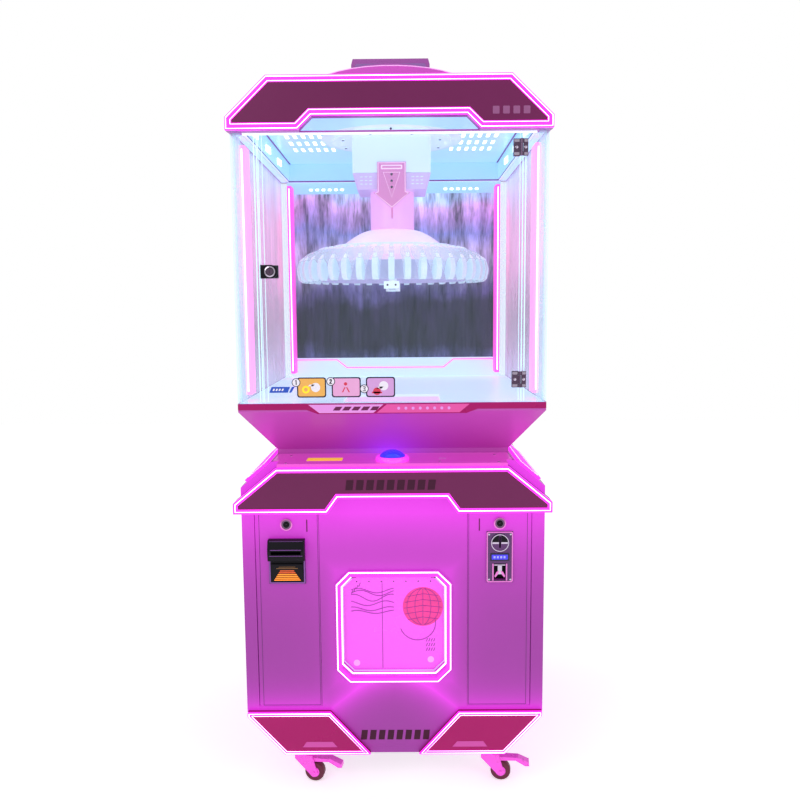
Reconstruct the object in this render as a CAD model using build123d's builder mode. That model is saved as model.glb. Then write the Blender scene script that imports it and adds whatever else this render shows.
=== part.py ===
from build123d import *
import os
from math import cos, radians, sin

os.makedirs("parts", exist_ok=True)

# A clip-carousel prize machine. Millimetres, +Z up, front towards -Y. The origin is on the floor,
# under the middle of the overall box.

# ---- driving dimensions ----
WIDTH = 730.0              # case and cabinet
HALF = WIDTH / 2
FRONT = -350.0             # outer face of the cabinet front and of the front glass
BACK = 400.0               # outer face of the rear
SHEET = 3.0                # folded sheet metal
GLASS = 5.0
BAND_FRONT = -400.0        # face of the console light box
CANOPY_FRONT = -380.0      # face of the canopy light box
TRIM_FRONT = -365.0        # face of the base light panels
STRIP_DEPTH = 6.0          # depth of a light strip

CABINET_BOTTOM = 90.0
FOOT_HALF = 273.0          # half width at the bottom, between the cut corners
PAN_HALF = FOOT_HALF - SHEET
FOOT_TOP = 198.0           # height where the cut corners meet the sides
SHOULDER_Z = 765.0
SHOULDER_HALF = 288.0
CONSOLE_Z = 830.0          # top of the console plate
PLATE_HALF = SHOULDER_HALF - SHEET
BAND_TOP_Z = 821.0         # top of the console light box
BAND_HALF = 272.0          # half width of its top edge
NECK_FOOT_Y = -260.0       # front of the neck where it stands on the console
NECK_FOOT_Z = 842.0        # top of the neck's upright plinth
NECK_TOP_Z = 947.0
CASE_FLOOR_Z = 967.0
GLASS_TOP_Z = 1590.0
CEILING_Z = 1646.0
TIP_Z = 1618.0             # where the canopy sides start to slope
ROOF_Z = 1708.0
ROOF_HALF = 276.0
CANOPY_HALF = 368.0

DOOR_INNER = 180.0         # cabinet doors, distance from the middle to their two edges
DOOR_OUTER = 334.0
DOOR_BOTTOM = 213.0
DOOR_TOP = 710.0
DOOR_GAP = 1.0
LUG = 12.0                 # height of a hinge lug on the front sheet
BEAD = 3.0                 # radius of the rolled hinge bead of a cabinet door
PIN = 1.5                  # radius of the hinge pins
RUNNING = 0.05             # radial clearance of a shaft in its hole
LOCK_RADIUS = 9.0

PRIZE_HALF = 127.0         # cut-out of the prize opening
PRIZE_BOTTOM = 296.0
PRIZE_TOP = 548.0
CHUTE_HALF = 120.0
DUCT_HALF = 118.0          # upright part of the prize duct
DUCT_FRONT = -242.0
DUCT_BACK = -88.0
DUCT_SHEET = 2.0
BIN_HALF = 128.0           # bin behind the prize door
BIN_BOTTOM = 284.0
BIN_TOP = 557.0
BIN_BACK = -84.0

SERVICE_HALF = 220.0       # service opening in the rear sheet
SERVICE_BOTTOM = 170.0
SERVICE_TOP = 680.0
INLET_X = 290.0            # mains inlet
INLET_Z = 240.0
PAN_TOP = CABINET_BOTTOM + 4

CAROUSEL_Y = 25.0          # axis of the clip carousel
CORE_RADIUS = 11.0
CORE_Z = 1236.0            # lower end of the core tube
HUB_Z = 1322.0
DOME_RADIUS = 160.0
CLIPS = 40
CLIP_STEP = 360.0 / CLIPS
CLIP_WIDTH = 17.0
CLIP_PIN_R = 175.0         # distance of a clip's pivot from the axis
CLIP_PIN_Z = 1340.0
CLIP_HEEL = 8.4            # radius of a clip's rounded inner end, about its pivot

GLASS_HINGE_X = 301.0      # axis of the glass door
GLASS_HINGE_Y = FRONT - 4.0

BUTTON_Y = -352.0
CASTER_X = 235.0
CASTER_FRONT_Y = -312.0
CASTER_BACK_Y = 345.0
WHEEL_RADIUS = 25.0
WHEEL_WIDTH = 20.0
TRAIL = 32.0               # offset of the wheel from the swivel axis

INNER_FRONT = FRONT + SHEET
INNER_BACK = BACK - SHEET


def front_plane(y):
    """The upright plane at depth y whose sketch coordinates are x and z."""
    return Plane.XZ.offset(-y)


def both_sides(right_half):
    """Close an outline listed from bottom to top on the right with its mirror image."""
    return right_half + [(-x, z) for x, z in reversed(right_half)]


def block(x0, x1, y0, y1, z0, z1, mode=Mode.ADD):
    """A box between two opposite corners."""
    with Locations(((x0 + x1) / 2, (y0 + y1) / 2, (z0 + z1) / 2)):
        Box(x1 - x0, y1 - y0, z1 - z0, mode=mode)


def rod(x, y, z0, z1, radius, mode=Mode.ADD):
    """An upright cylinder from z0 to z1."""
    with Locations((x, y, (z0 + z1) / 2)):
        Cylinder(radius, z1 - z0, mode=mode)


def plug(x, y0, y1, z, radius, mode=Mode.ADD):
    """A cylinder that points at the player, from y0 to y1."""
    with Locations(Location((x, (y0 + y1) / 2, z), (90, 0, 0))):
        Cylinder(radius, y1 - y0, mode=mode)


def save(name, piece):
    """Label a finished piece and write its STEP file."""
    piece.part.label = name
    export_step(piece.part, f"parts/{name}.step")


CABINET_OUTLINE = both_sides([(FOOT_HALF, CABINET_BOTTOM), (HALF, FOOT_TOP),
                              (HALF, SHOULDER_Z), (SHOULDER_HALF, CONSOLE_Z)])
REAR_OUTLINE = both_sides([(FOOT_HALF, CABINET_BOTTOM), (HALF, FOOT_TOP), (HALF, SHOULDER_Z),
                           (SHOULDER_HALF, CONSOLE_Z), (HALF, NECK_TOP_Z), (HALF, CASE_FLOOR_Z)])
ROOF_OUTLINE = both_sides([(CANOPY_HALF, GLASS_TOP_Z), (CANOPY_HALF, TIP_Z), (ROOF_HALF, ROOF_Z)])

# ---- lower cabinet ----

# Bottom pan between the cut corners, with a stiffening flange and vent slots.
with BuildPart() as base_frame:
    flange_top = PAN_TOP + 20
    block(-PAN_HALF, PAN_HALF, INNER_FRONT, INNER_BACK, CABINET_BOTTOM, PAN_TOP)
    for inset, mode in ((8, Mode.ADD), (8 + SHEET, Mode.SUBTRACT)):
        block(inset - PAN_HALF, PAN_HALF - inset, INNER_FRONT + inset, INNER_BACK - inset,
              PAN_TOP, flange_top, mode)
    with Locations((0, (FRONT + BACK) / 2, CABINET_BOTTOM + 2)):
        with GridLocations(28, 120, 7, 2):
            Box(8, 90, 4, mode=Mode.SUBTRACT)
save("base_frame", base_frame)

# Folded sides with the cut lower corners and the sloping shoulders.
with BuildPart() as cabinet_shell:
    with BuildSketch(front_plane(INNER_FRONT)):
        Polygon(*CABINET_OUTLINE, align=None)
        offset(amount=-SHEET, kind=Kind.INTERSECTION, mode=Mode.SUBTRACT)
    extrude(amount=-(INNER_BACK - INNER_FRONT))
    block(-PAN_HALF, PAN_HALF, FRONT, BACK, CABINET_BOTTOM - 10, CABINET_BOTTOM + 6, Mode.SUBTRACT)
    block(-PLATE_HALF, PLATE_HALF, FRONT, BACK, CONSOLE_Z - 10, CONSOLE_Z + 10, Mode.SUBTRACT)
save("cabinet_shell", cabinet_shell)

# Front sheet with the two door openings, the prize opening and the lugs of the door hinges.
with BuildPart() as front_panel:
    with BuildSketch(front_plane(FRONT)):
        Polygon(*both_sides([(FOOT_HALF, CABINET_BOTTOM), (HALF, FOOT_TOP), (HALF, SHOULDER_Z),
                             (SHOULDER_HALF + 3, CONSOLE_Z - SHEET)]), align=None)
        with Locations((0, (DOOR_BOTTOM + DOOR_TOP) / 2)):
            with GridLocations(DOOR_INNER + DOOR_OUTER, 1, 2, 1):
                Rectangle(DOOR_OUTER - DOOR_INNER + 2 * DOOR_GAP, DOOR_TOP - DOOR_BOTTOM + 2 * DOOR_GAP,
                          mode=Mode.SUBTRACT)
        with Locations((0, (PRIZE_BOTTOM + PRIZE_TOP) / 2)):
            Rectangle(2 * PRIZE_HALF, PRIZE_TOP - PRIZE_BOTTOM, mode=Mode.SUBTRACT)
    extrude(amount=-SHEET)
    for side in (-1, 1):
        lug_x = side * (DOOR_OUTER - BEAD)
        for lug_z in (DOOR_BOTTOM - DOOR_GAP - LUG, DOOR_TOP + DOOR_GAP):
            block(lug_x - LUG / 2, lug_x + LUG / 2, FRONT, FRONT + 2 * BEAD + 2, lug_z, lug_z + LUG)
            rod(lug_x, FRONT + BEAD, lug_z, lug_z + LUG, PIN, Mode.SUBTRACT)
save("front_panel", front_panel)

# Rear sheet, up to the sill of the case, with the service opening, the inlet cut-out and vents.
with BuildPart() as back_panel:
    with BuildSketch(front_plane(BACK)):
        Polygon(*REAR_OUTLINE, align=None)
        with Locations((0, (SERVICE_BOTTOM + SERVICE_TOP) / 2)):
            Rectangle(2 * SERVICE_HALF, SERVICE_TOP - SERVICE_BOTTOM, mode=Mode.SUBTRACT)
        with Locations((INLET_X, INLET_Z)):
            Rectangle(48, 28, mode=Mode.SUBTRACT)
    extrude(amount=SHEET)
save("back_panel", back_panel)

# Cover with vent slots, flush in the service opening.
with BuildPart() as service_panel:
    block(DOOR_GAP - SERVICE_HALF, SERVICE_HALF - DOOR_GAP, BACK - SHEET, BACK,
          SERVICE_BOTTOM + DOOR_GAP, SERVICE_TOP - DOOR_GAP)
    for row in range(8):
        vent_z = 540 + row * 14
        block(-110, 110, BACK - SHEET, BACK, vent_z, vent_z + 6, Mode.SUBTRACT)
save("service_panel", service_panel)

# Top plate of the console, under the neck and over the light box at the front.
with BuildPart() as console_top:
    under = CONSOLE_Z - SHEET
    lip_half = BAND_HALF - 2
    block(-PLATE_HALF, PLATE_HALF, INNER_FRONT, INNER_BACK, under, CONSOLE_Z)
    block(-lip_half, lip_half, BAND_FRONT + STRIP_DEPTH, INNER_FRONT, under, CONSOLE_Z)
    block(-lip_half, lip_half, BAND_FRONT + STRIP_DEPTH, FRONT, BAND_TOP_Z, under)
    block(-DUCT_HALF, DUCT_HALF, DUCT_FRONT, DUCT_BACK, under, CONSOLE_Z, Mode.SUBTRACT)
    rod(0, BUTTON_Y + 12, under, CONSOLE_Z, 6, Mode.SUBTRACT)
save("console_top", console_top)

# Neck: a hopper-shaped sheet body that widens from the console to the sill of the case.
with BuildPart() as neck_shell:
    for inset, mode in ((0, Mode.ADD), (SHEET, Mode.SUBTRACT)):
        rear = INNER_BACK if inset == 0 else INNER_BACK + 10
        with BuildSketch(Plane.XY.offset(NECK_FOOT_Z)):
            with Locations((0, (NECK_FOOT_Y + inset + rear) / 2)):
                Rectangle(2 * (SHOULDER_HALF - inset), rear - NECK_FOOT_Y - inset)
        with BuildSketch(Plane.XY.offset(NECK_TOP_Z)):
            with Locations((0, (FRONT + inset + rear) / 2)):
                Rectangle(2 * (HALF - inset), rear - FRONT - inset)
        loft(mode=mode)
        block(-HALF + inset, HALF - inset, FRONT + inset, rear, NECK_TOP_Z, CASE_FLOOR_Z, mode)
        block(inset - SHOULDER_HALF, SHOULDER_HALF - inset, NECK_FOOT_Y + inset, rear,
              CONSOLE_Z, NECK_FOOT_Z, mode)
save("neck_shell", neck_shell)

# ---- prize path ----

THROAT_FRONT = -330.0      # mouth of the duct, under the front clip
THROAT_BACK = -160.0
THROAT_Z = CASE_FLOOR_Z - 6

# Floor of the showcase with the drop opening.
with BuildPart() as case_floor:
    block(SHEET - HALF, HALF - SHEET, INNER_FRONT, INNER_BACK, THROAT_Z, CASE_FLOOR_Z)
    block(DUCT_SHEET - CHUTE_HALF, CHUTE_HALF - DUCT_SHEET, THROAT_FRONT + DUCT_SHEET,
          THROAT_BACK - DUCT_SHEET, THROAT_Z, CASE_FLOOR_Z, Mode.SUBTRACT)
save("case_floor", case_floor)

# Sheet duct from the case floor, back through the neck and down to the bin behind the prize
# door. The bin is open to the door and to the duct, and its floor slopes forward.
BIN_INSIDE = BIN_HALF - DUCT_SHEET
BIN_FLOOR = BIN_BOTTOM + DUCT_SHEET
BIN_WALL = BIN_BACK - DUCT_SHEET
CONSOLE_SECTION = (DUCT_FRONT + DUCT_BACK) / 2
with BuildPart() as prize_chute:
    for inset, mode in ((0, Mode.ADD), (DUCT_SHEET, Mode.SUBTRACT)):
        width = 2 * (CHUTE_HALF - inset)
        with BuildSketch(Plane.XY.offset(THROAT_Z)):
            with Locations((0, (THROAT_FRONT + THROAT_BACK) / 2)):
                Rectangle(width, THROAT_BACK - THROAT_FRONT - 2 * inset)
        with BuildSketch(Plane.XY.offset(CONSOLE_Z)):
            with Locations((0, CONSOLE_SECTION)):
                Rectangle(width, DUCT_BACK - DUCT_FRONT + 2 * DUCT_SHEET - 2 * inset)
        loft(mode=mode)
    inner_half = DUCT_HALF - DUCT_SHEET
    inner_front = DUCT_FRONT + DUCT_SHEET
    inner_back = DUCT_BACK - DUCT_SHEET
    block(-DUCT_HALF, DUCT_HALF, DUCT_FRONT, DUCT_BACK, BIN_TOP + 0.3, CONSOLE_Z)
    block(-inner_half, inner_half, inner_front, inner_back, BIN_TOP, CONSOLE_Z, Mode.SUBTRACT)
    block(-BIN_HALF, BIN_HALF, INNER_FRONT, BIN_BACK, BIN_BOTTOM, BIN_TOP)
    block(-BIN_INSIDE, BIN_INSIDE, INNER_FRONT, BIN_WALL, BIN_FLOOR, BIN_TOP - DUCT_SHEET, Mode.SUBTRACT)
    block(-inner_half, inner_half, inner_front, inner_back, BIN_TOP - DUCT_SHEET, BIN_TOP, Mode.SUBTRACT)
    with BuildSketch(Plane.YZ.offset(-BIN_INSIDE)):
        Polygon((INNER_FRONT, BIN_FLOOR), (BIN_WALL, BIN_FLOOR), (BIN_WALL, BIN_FLOOR + 32),
                (INNER_FRONT, BIN_FLOOR + 6), align=None)
    extrude(amount=2 * BIN_INSIDE)
save("prize_chute", prize_chute)


def octagon(half, bottom, top, corner):
    """Corner points of an upright octagon with cut corners."""
    return both_sides([(half - corner, bottom), (half, bottom + corner),
                       (half, top - corner), (half - corner, top)])


# Bezel round the prize opening.
with BuildPart() as prize_frame:
    with BuildSketch(front_plane(FRONT)):
        Polygon(*octagon(141, 276, 558, 32), align=None)
        Polygon(*octagon(124, 302, 546, 26), align=None, mode=Mode.SUBTRACT)
    extrude(amount=6)
save("prize_frame", prize_frame)

# Clear octagonal flap, hung from its top edge on a rolled bead; it is pushed inwards.
FLAP_Z = 538.0
FLAP_Y = FRONT + 6
with BuildPart() as prize_flap:
    with BuildSketch(front_plane(FLAP_Y + 2)):
        Polygon(*octagon(122.5, 304, FLAP_Z, 25), align=None)
    extrude(amount=4)
    with Locations(Location((0, FLAP_Y, FLAP_Z), (0, 90, 0))):
        Cylinder(4, 180)
        Cylinder(PIN + RUNNING, 2 * CHUTE_HALF, mode=Mode.SUBTRACT)
save("prize_flap", prize_flap)

# ---- light boxes and light strips ----

BAND_OUTLINE = both_sides([(153, 712), (374, 712), (374, 737), (BAND_HALF, BAND_TOP_Z)])
BAND_OUTLINE = [(-127, 748), (127, 748)] + BAND_OUTLINE
CANOPY_FACE = [(-175, 1620), (175, 1620)] + both_sides(
    [(206, GLASS_TOP_Z), (369.5, GLASS_TOP_Z), (369.5, TIP_Z), (ROOF_HALF, ROOF_Z)])
TRIM_OUTLINE = [(60, 93), (271, 93), (362, 192), (362, 202), (158, 202)]
BAND_STRIP = 11.0
CANOPY_STRIP = 15.0
TRIM_STRIP = 9.0
PRIZE_STRIP = 11.0
PRIZE_STRIP_FRONT = FRONT - 10
PRIZE_STRIP_OUTLINE = octagon(139, 278, 556, 31)

# Sheet housings of the console and canopy light boxes, hollow behind their faces.
with BuildPart() as light_boxes:
    for face, outline, low, high in ((BAND_FRONT, BAND_OUTLINE, 752, 816),
                                     (CANOPY_FRONT, CANOPY_FACE, 1625, 1703)):
        depth = FRONT - face - STRIP_DEPTH
        with BuildSketch(front_plane(FRONT)):
            Polygon(*outline, align=None)
        extrude(amount=depth)
        block(-240, 240, FRONT - depth + SHEET, FRONT, low, high, Mode.SUBTRACT)
save("light_boxes", light_boxes)

# Dark panels inside the light strips of the console and the canopy.
with BuildPart() as fascia_panels:
    for face, outline, strip in ((BAND_FRONT, BAND_OUTLINE, BAND_STRIP),
                                 (CANOPY_FRONT, CANOPY_FACE, CANOPY_STRIP)):
        with BuildSketch(front_plane(face + STRIP_DEPTH)):
            with BuildSketch(mode=Mode.PRIVATE) as whole:
                Polygon(*outline, align=None)
            offset(whole.sketch, amount=-strip, kind=Kind.INTERSECTION)
        extrude(amount=STRIP_DEPTH - 1.5)
save("fascia_panels", fascia_panels)

# Coloured panels on the cut lower corners, and the band on the sill that laps over the neck.
with BuildPart() as trim_panels:
    with BuildSketch(front_plane(FRONT)):
        Polygon(*TRIM_OUTLINE, align=None)
        mirror(about=Plane.YZ)
    extrude(amount=FRONT - TRIM_FRONT - STRIP_DEPTH)
    for side in (1, -1):
        with BuildSketch(front_plane(TRIM_FRONT + STRIP_DEPTH)):
            with BuildSketch(mode=Mode.PRIVATE) as whole:
                Polygon(*[(side * x, z) for x, z in TRIM_OUTLINE], align=None)
            offset(whole.sketch, amount=-TRIM_STRIP, kind=Kind.INTERSECTION)
        extrude(amount=STRIP_DEPTH - 1.5)
    with BuildSketch(front_plane(FRONT)):
        Polygon(*both_sides([(176, 942), (203, 952), (HALF, 952), (HALF, 966)]), align=None)
    extrude(amount=2)
save("trim_panels", trim_panels)

# Light strips: console, canopy, base panels, prize bezel, shoulders and the showcase's corners.
with BuildPart() as light_strips:
    for face, outline, strip in ((BAND_FRONT, BAND_OUTLINE, BAND_STRIP),
                                 (CANOPY_FRONT, CANOPY_FACE, CANOPY_STRIP),
                                 (TRIM_FRONT, TRIM_OUTLINE, TRIM_STRIP),
                                 (TRIM_FRONT, [(-x, z) for x, z in TRIM_OUTLINE], TRIM_STRIP),
                                 (PRIZE_STRIP_FRONT, PRIZE_STRIP_OUTLINE, PRIZE_STRIP)):
        back = face + (4 if face == PRIZE_STRIP_FRONT else STRIP_DEPTH)
        with BuildSketch(front_plane(back)):
            Polygon(*outline, align=None)
            with BuildSketch(mode=Mode.PRIVATE) as whole:
                Polygon(*outline, align=None)
            offset(whole.sketch, amount=-strip, kind=Kind.INTERSECTION, mode=Mode.SUBTRACT)
        extrude(amount=back - face)
    for side in (1, -1):
        with BuildSketch(front_plane(FRONT + 12)):
            Polygon((side * 352, 776), (side * 357, 780.2), (side * 304, 825), (side * 299, 820.8),
                    align=None)
        extrude(amount=-360)
    for bar_x, bar_y in ((346, FRONT + 68), (325, BACK - 58)):
        with Locations((-bar_x, bar_y, 1277), (bar_x, bar_y, 1277)):
            Box(12, 60, 585)
save("light_strips", light_strips)

# ---- showcase ----

# Side, rear and fixed front panes, with a hairline joint between them.
JOINT = 0.5
with BuildPart() as case_glass:
    for side in (-1, 1):
        block(min(side * (HALF - GLASS), side * HALF), max(side * (HALF - GLASS), side * HALF),
              FRONT + GLASS + JOINT, BACK - GLASS - JOINT, CASE_FLOOR_Z, GLASS_TOP_Z)
        block(min(side * 304, side * HALF), max(side * 304, side * HALF),
              FRONT, FRONT + GLASS, CASE_FLOOR_Z, GLASS_TOP_Z)
    block(-HALF, HALF, BACK - GLASS, BACK, CASE_FLOOR_Z, GLASS_TOP_Z)
save("case_glass", case_glass)

# Angle posts in the four corners.
with BuildPart() as corner_posts:
    for x, y, turn in ((1, FRONT + GLASS, 1), (-1, FRONT + GLASS, 1),
                       (1, BACK - GLASS, -1), (-1, BACK - GLASS, -1)):
        outer = HALF - GLASS
        y_near, y_far = sorted((y, y + turn * 18))
        block(min(x * (outer - 2), x * outer), max(x * (outer - 2), x * outer),
              y_near, y_far, CASE_FLOOR_Z, GLASS_TOP_Z)
        y_near, y_far = sorted((y, y + turn * 2))
        block(min(x * (outer - 18), x * (outer - 2)), max(x * (outer - 18), x * (outer - 2)),
              y_near, y_far, CASE_FLOOR_Z, GLASS_TOP_Z)
save("corner_posts", corner_posts)

# Recessed ceiling with rows of slots either side of the head.
with BuildPart() as ceiling_panel:
    block(-326, 326, FRONT + 6, BACK - 6, CEILING_Z, CEILING_Z + 4)
    with Locations((-225, 60, CEILING_Z + 2), (225, 60, CEILING_Z + 2)):
        with GridLocations(22, 90, 6, 3):
            Box(9, 44, 4, mode=Mode.SUBTRACT)
save("ceiling_panel", ceiling_panel)

# Roof: a folded hood with an inner ledge that holds the panes, open behind the canopy's notch.
with BuildPart() as roof_shell:
    with BuildSketch(front_plane(FRONT)):
        Polygon(*ROOF_OUTLINE, align=None)
    extrude(amount=-(BACK - FRONT))
    with BuildSketch(front_plane(INNER_FRONT)):
        Polygon(*both_sides([(CANOPY_HALF - SHEET, GLASS_TOP_Z + SHEET), (CANOPY_HALF - SHEET, TIP_Z - 1),
                             (ROOF_HALF - 1, ROOF_Z - SHEET)]), align=None)
    extrude(amount=-(INNER_BACK - INNER_FRONT), mode=Mode.SUBTRACT)
    block(-340, 340, FRONT + 22, BACK - 22, GLASS_TOP_Z - 1, GLASS_TOP_Z + 4, Mode.SUBTRACT)
    block(-204, 204, FRONT - 1, INNER_FRONT + 1, GLASS_TOP_Z + SHEET, CEILING_Z, Mode.SUBTRACT)
save("roof_shell", roof_shell)

# Arched board on the roof, and the lamp box behind it.
with BuildPart() as top_sign:
    with BuildSketch(front_plane(-219)):
        with BuildLine():
            Polyline((-190, ROOF_Z + 18), (-190, ROOF_Z), (190, ROOF_Z), (190, ROOF_Z + 18))
            ThreePointArc((190, ROOF_Z + 18), (0, 1775), (-190, ROOF_Z + 18))
        make_face()
    extrude(amount=6)
    with BuildSketch(front_plane(-30)):
        Polygon(*both_sides([(100, ROOF_Z), (100, 1806), (96, 1820)]), align=None)
    extrude(amount=80)
save("top_sign", top_sign)

# ---- head and pillar ----

HEAD_HALF = 104.0
HEAD_DEPTH = 85.0
HEAD_Z = 1504.0            # bottom of the head
HEAD_SEAM_Z = 1546.0       # where the taper starts
FLANGE_Z = 1638.0          # underside of the ceiling flange
PILLAR_Z = 1403.0
PILLAR_RADIUS = 60.0

# Housing of the drive, hung from the ceiling: straight above, tapered below, with the
# arrow-shaped badge on its face.
with BuildPart() as head_housing:
    for inset, mode in ((0, Mode.ADD), (SHEET, Mode.SUBTRACT)):
        for low, high, half_low, depth_low in ((HEAD_SEAM_Z, FLANGE_Z, HEAD_HALF, HEAD_DEPTH),
                                               (HEAD_Z + inset, HEAD_SEAM_Z, 92, 76)):
            with BuildSketch(Plane.XY.offset(low)):
                with Locations((0, CAROUSEL_Y)):
                    Rectangle(2 * (half_low - inset), 2 * (depth_low - inset))
            with BuildSketch(Plane.XY.offset(high)):
                with Locations((0, CAROUSEL_Y)):
                    Rectangle(2 * (HEAD_HALF - inset), 2 * (HEAD_DEPTH - inset))
            loft(mode=mode)
    rod(0, CAROUSEL_Y, HEAD_Z - 1, HEAD_Z + SHEET + 2, 20, Mode.SUBTRACT)
    with BuildSketch(front_plane(CAROUSEL_Y - HEAD_DEPTH)):
        Polygon(*both_sides([(0.01, 1452), (49, 1494), (38, 1494), (38, 1573)]), align=None)
    extrude(amount=6)
save("head_housing", head_housing)

# Fixed sleeve under the head; the carousel's hub tube turns inside it.
with BuildPart() as pillar:
    rod(0, CAROUSEL_Y, PILLAR_Z, HEAD_Z, PILLAR_RADIUS)
    rod(0, CAROUSEL_Y, PILLAR_Z, HEAD_Z, PILLAR_RADIUS - 4, Mode.SUBTRACT)
save("pillar", pillar)

# Fixed core tube with its round ceiling flange, the flange screws and the collar that carries
# the turning hub.
with BuildPart() as core_tube:
    rod(0, CAROUSEL_Y, FLANGE_Z, CEILING_Z, 160)
    rod(0, CAROUSEL_Y, CORE_Z, FLANGE_Z, CORE_RADIUS)
    rod(0, CAROUSEL_Y, 1300, HUB_Z - 0.3, 26)
    rod(0, CAROUSEL_Y, CORE_Z, CEILING_Z, 8, Mode.SUBTRACT)
    with Locations((0, CAROUSEL_Y, FLANGE_Z - 1)):
        with PolarLocations(140, 8, start_angle=22.5):
            Cylinder(4, 2)
save("core_tube", core_tube)

MOTOR_Z = 1560.0
HUB_RADIUS = 18.0          # tube of the turning hub
HUB_TOP = 1610.0

# Hollow gearmotor round the core tube, with its terminal box.
with BuildPart() as carousel_motor:
    rod(0, CAROUSEL_Y, MOTOR_Z, MOTOR_Z + 72, 52)
    block(40, 84, CAROUSEL_Y - 24, CAROUSEL_Y + 24, MOTOR_Z + 12, MOTOR_Z + 64)
    rod(0, CAROUSEL_Y, MOTOR_Z, MOTOR_Z + 72, HUB_RADIUS + 1, Mode.SUBTRACT)
save("carousel_motor", carousel_motor)

# Arm clamped under the core tube, with the pusher block below the front clip.
PUSHER_Y = CAROUSEL_Y - 248
PUSHER_RADIUS = 4.0
with BuildPart() as pusher_arm:
    rod(0, CAROUSEL_Y, CORE_Z, CORE_Z + 22, 20)
    block(-9, 9, PUSHER_Y, CAROUSEL_Y - 15, CORE_Z + 2, CORE_Z + 12)
    block(-19, 19, PUSHER_Y - 13, PUSHER_Y + 13, CORE_Z + 2, CORE_Z + 20)
    rod(0, CAROUSEL_Y, CORE_Z, CORE_Z + 22, CORE_RADIUS, Mode.SUBTRACT)
    rod(0, PUSHER_Y, CORE_Z + 4, CORE_Z + 24, PUSHER_RADIUS + RUNNING, Mode.SUBTRACT)
save("pusher_arm", pusher_arm)

# Pusher pin; it rises out of the block against the nose of the clip above.
with BuildPart() as pusher_pin:
    rod(0, PUSHER_Y, CORE_Z + 5, CORE_Z + 15.5, PUSHER_RADIUS)
    fillet(pusher_pin.edges().group_by(Axis.Z)[-1], 1.5)
save("pusher_pin", pusher_pin)

# ---- carousel ----

# Turning hub: a disc and the tube that rises through the pillar into the motor.
with BuildPart() as carousel_hub:
    rod(0, CAROUSEL_Y, HUB_Z, HUB_Z + 6, DOME_RADIUS - 4.2)
    rod(0, CAROUSEL_Y, HUB_Z, HUB_TOP, HUB_RADIUS)
    rod(0, CAROUSEL_Y, HUB_Z, HUB_TOP, CORE_RADIUS + 1, Mode.SUBTRACT)
    rod(0, CAROUSEL_Y, HUB_Z, HUB_Z + 24, HUB_RADIUS)
    rod(0, CAROUSEL_Y, HUB_Z, HUB_Z + 24, CORE_RADIUS + RUNNING, Mode.SUBTRACT)
save("carousel_hub", carousel_hub)

# Translucent dome over the hub.
with BuildPart() as carousel_dome:
    with BuildSketch(Plane.XZ):
        with BuildLine():
            Polyline((DOME_RADIUS - 4, 1312), (DOME_RADIUS, 1312), (DOME_RADIUS, 1330))
            Spline((DOME_RADIUS, 1330), (139, 1361), (100, 1388), (64, 1402),
                   tangents=((-0.1, 1), (-1, 0.2)))
            Line((64, 1402), (64, 1397))
            Spline((64, 1397), (98, 1384), (136, 1357), (DOME_RADIUS - 4, 1329),
                   tangents=((1, -0.2), (0.1, -1)))
            Line((DOME_RADIUS - 4, 1329), (DOME_RADIUS - 4, 1312))
        make_face()
    revolve(axis=Axis.Z)
carousel_dome.part = carousel_dome.part.moved(Location((0, CAROUSEL_Y, 0)))
save("carousel_dome", carousel_dome)

# Toothed ring that carries the clips, with the front clip's pivot pin.
with BuildPart() as clip_carrier:
    ring_bottom = CLIP_PIN_Z - 12
    ring_top = CLIP_PIN_Z + 12
    rod(0, CAROUSEL_Y, ring_bottom, ring_top, DOME_RADIUS + 23)
    rod(0, CAROUSEL_Y, ring_bottom, ring_top, DOME_RADIUS, Mode.SUBTRACT)
    with Locations((0, CAROUSEL_Y, CLIP_PIN_Z)):
        with PolarLocations(DOME_RADIUS + 16, CLIPS, start_angle=-90):
            Box(20, CLIP_WIDTH + 1, ring_top - ring_bottom, mode=Mode.SUBTRACT)
    with Locations(Location((0, CAROUSEL_Y - CLIP_PIN_R, CLIP_PIN_Z), (0, 90, 0))):
        Cylinder(PIN, 24)
save("clip_carrier", clip_carrier)


def clip_profile():
    """Outline of one clip in its radial plane: a drooping arm that ends in a rounded nose."""
    heel_top = (CLIP_PIN_R, CLIP_PIN_Z + CLIP_HEEL)
    heel_bottom = (CLIP_PIN_R, CLIP_PIN_Z - CLIP_HEEL)
    with BuildLine() as outline:
        ThreePointArc(heel_bottom, (CLIP_PIN_R - CLIP_HEEL, CLIP_PIN_Z), heel_top)
        Line(heel_top, (192, 1348.4))
        Spline((192, 1348.4), (232, 1340), (260, 1316), tangents=((1, 0), (0.5, -1)))
        Line((260, 1316), (265, 1296))
        ThreePointArc((265, 1296), (261, 1268), (244, 1260))
        Line((244, 1260), (236, 1278))
        Spline((236, 1278), (218, 1308), (188, 1324), tangents=((-0.3, 1), (-1, 0.15)))
        Line((188, 1324), heel_bottom)
    return outline.line


CLIP_OUTLINE = clip_profile()

with BuildPart(mode=Mode.PRIVATE) as one_clip:
    with BuildSketch(Plane.XZ.offset(CLIP_WIDTH / 2)):
        with BuildLine():
            add(CLIP_OUTLINE)
        make_face()
    extrude(amount=-CLIP_WIDTH)

# The clips of the ring, all but the one at the front.
with BuildPart() as prize_clips:
    with Locations((0, CAROUSEL_Y, 0)):
        with PolarLocations(0, CLIPS - 1, start_angle=-90 + CLIP_STEP, angular_range=360 - CLIP_STEP):
            add(one_clip.part)
save("prize_clips", prize_clips)

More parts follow.
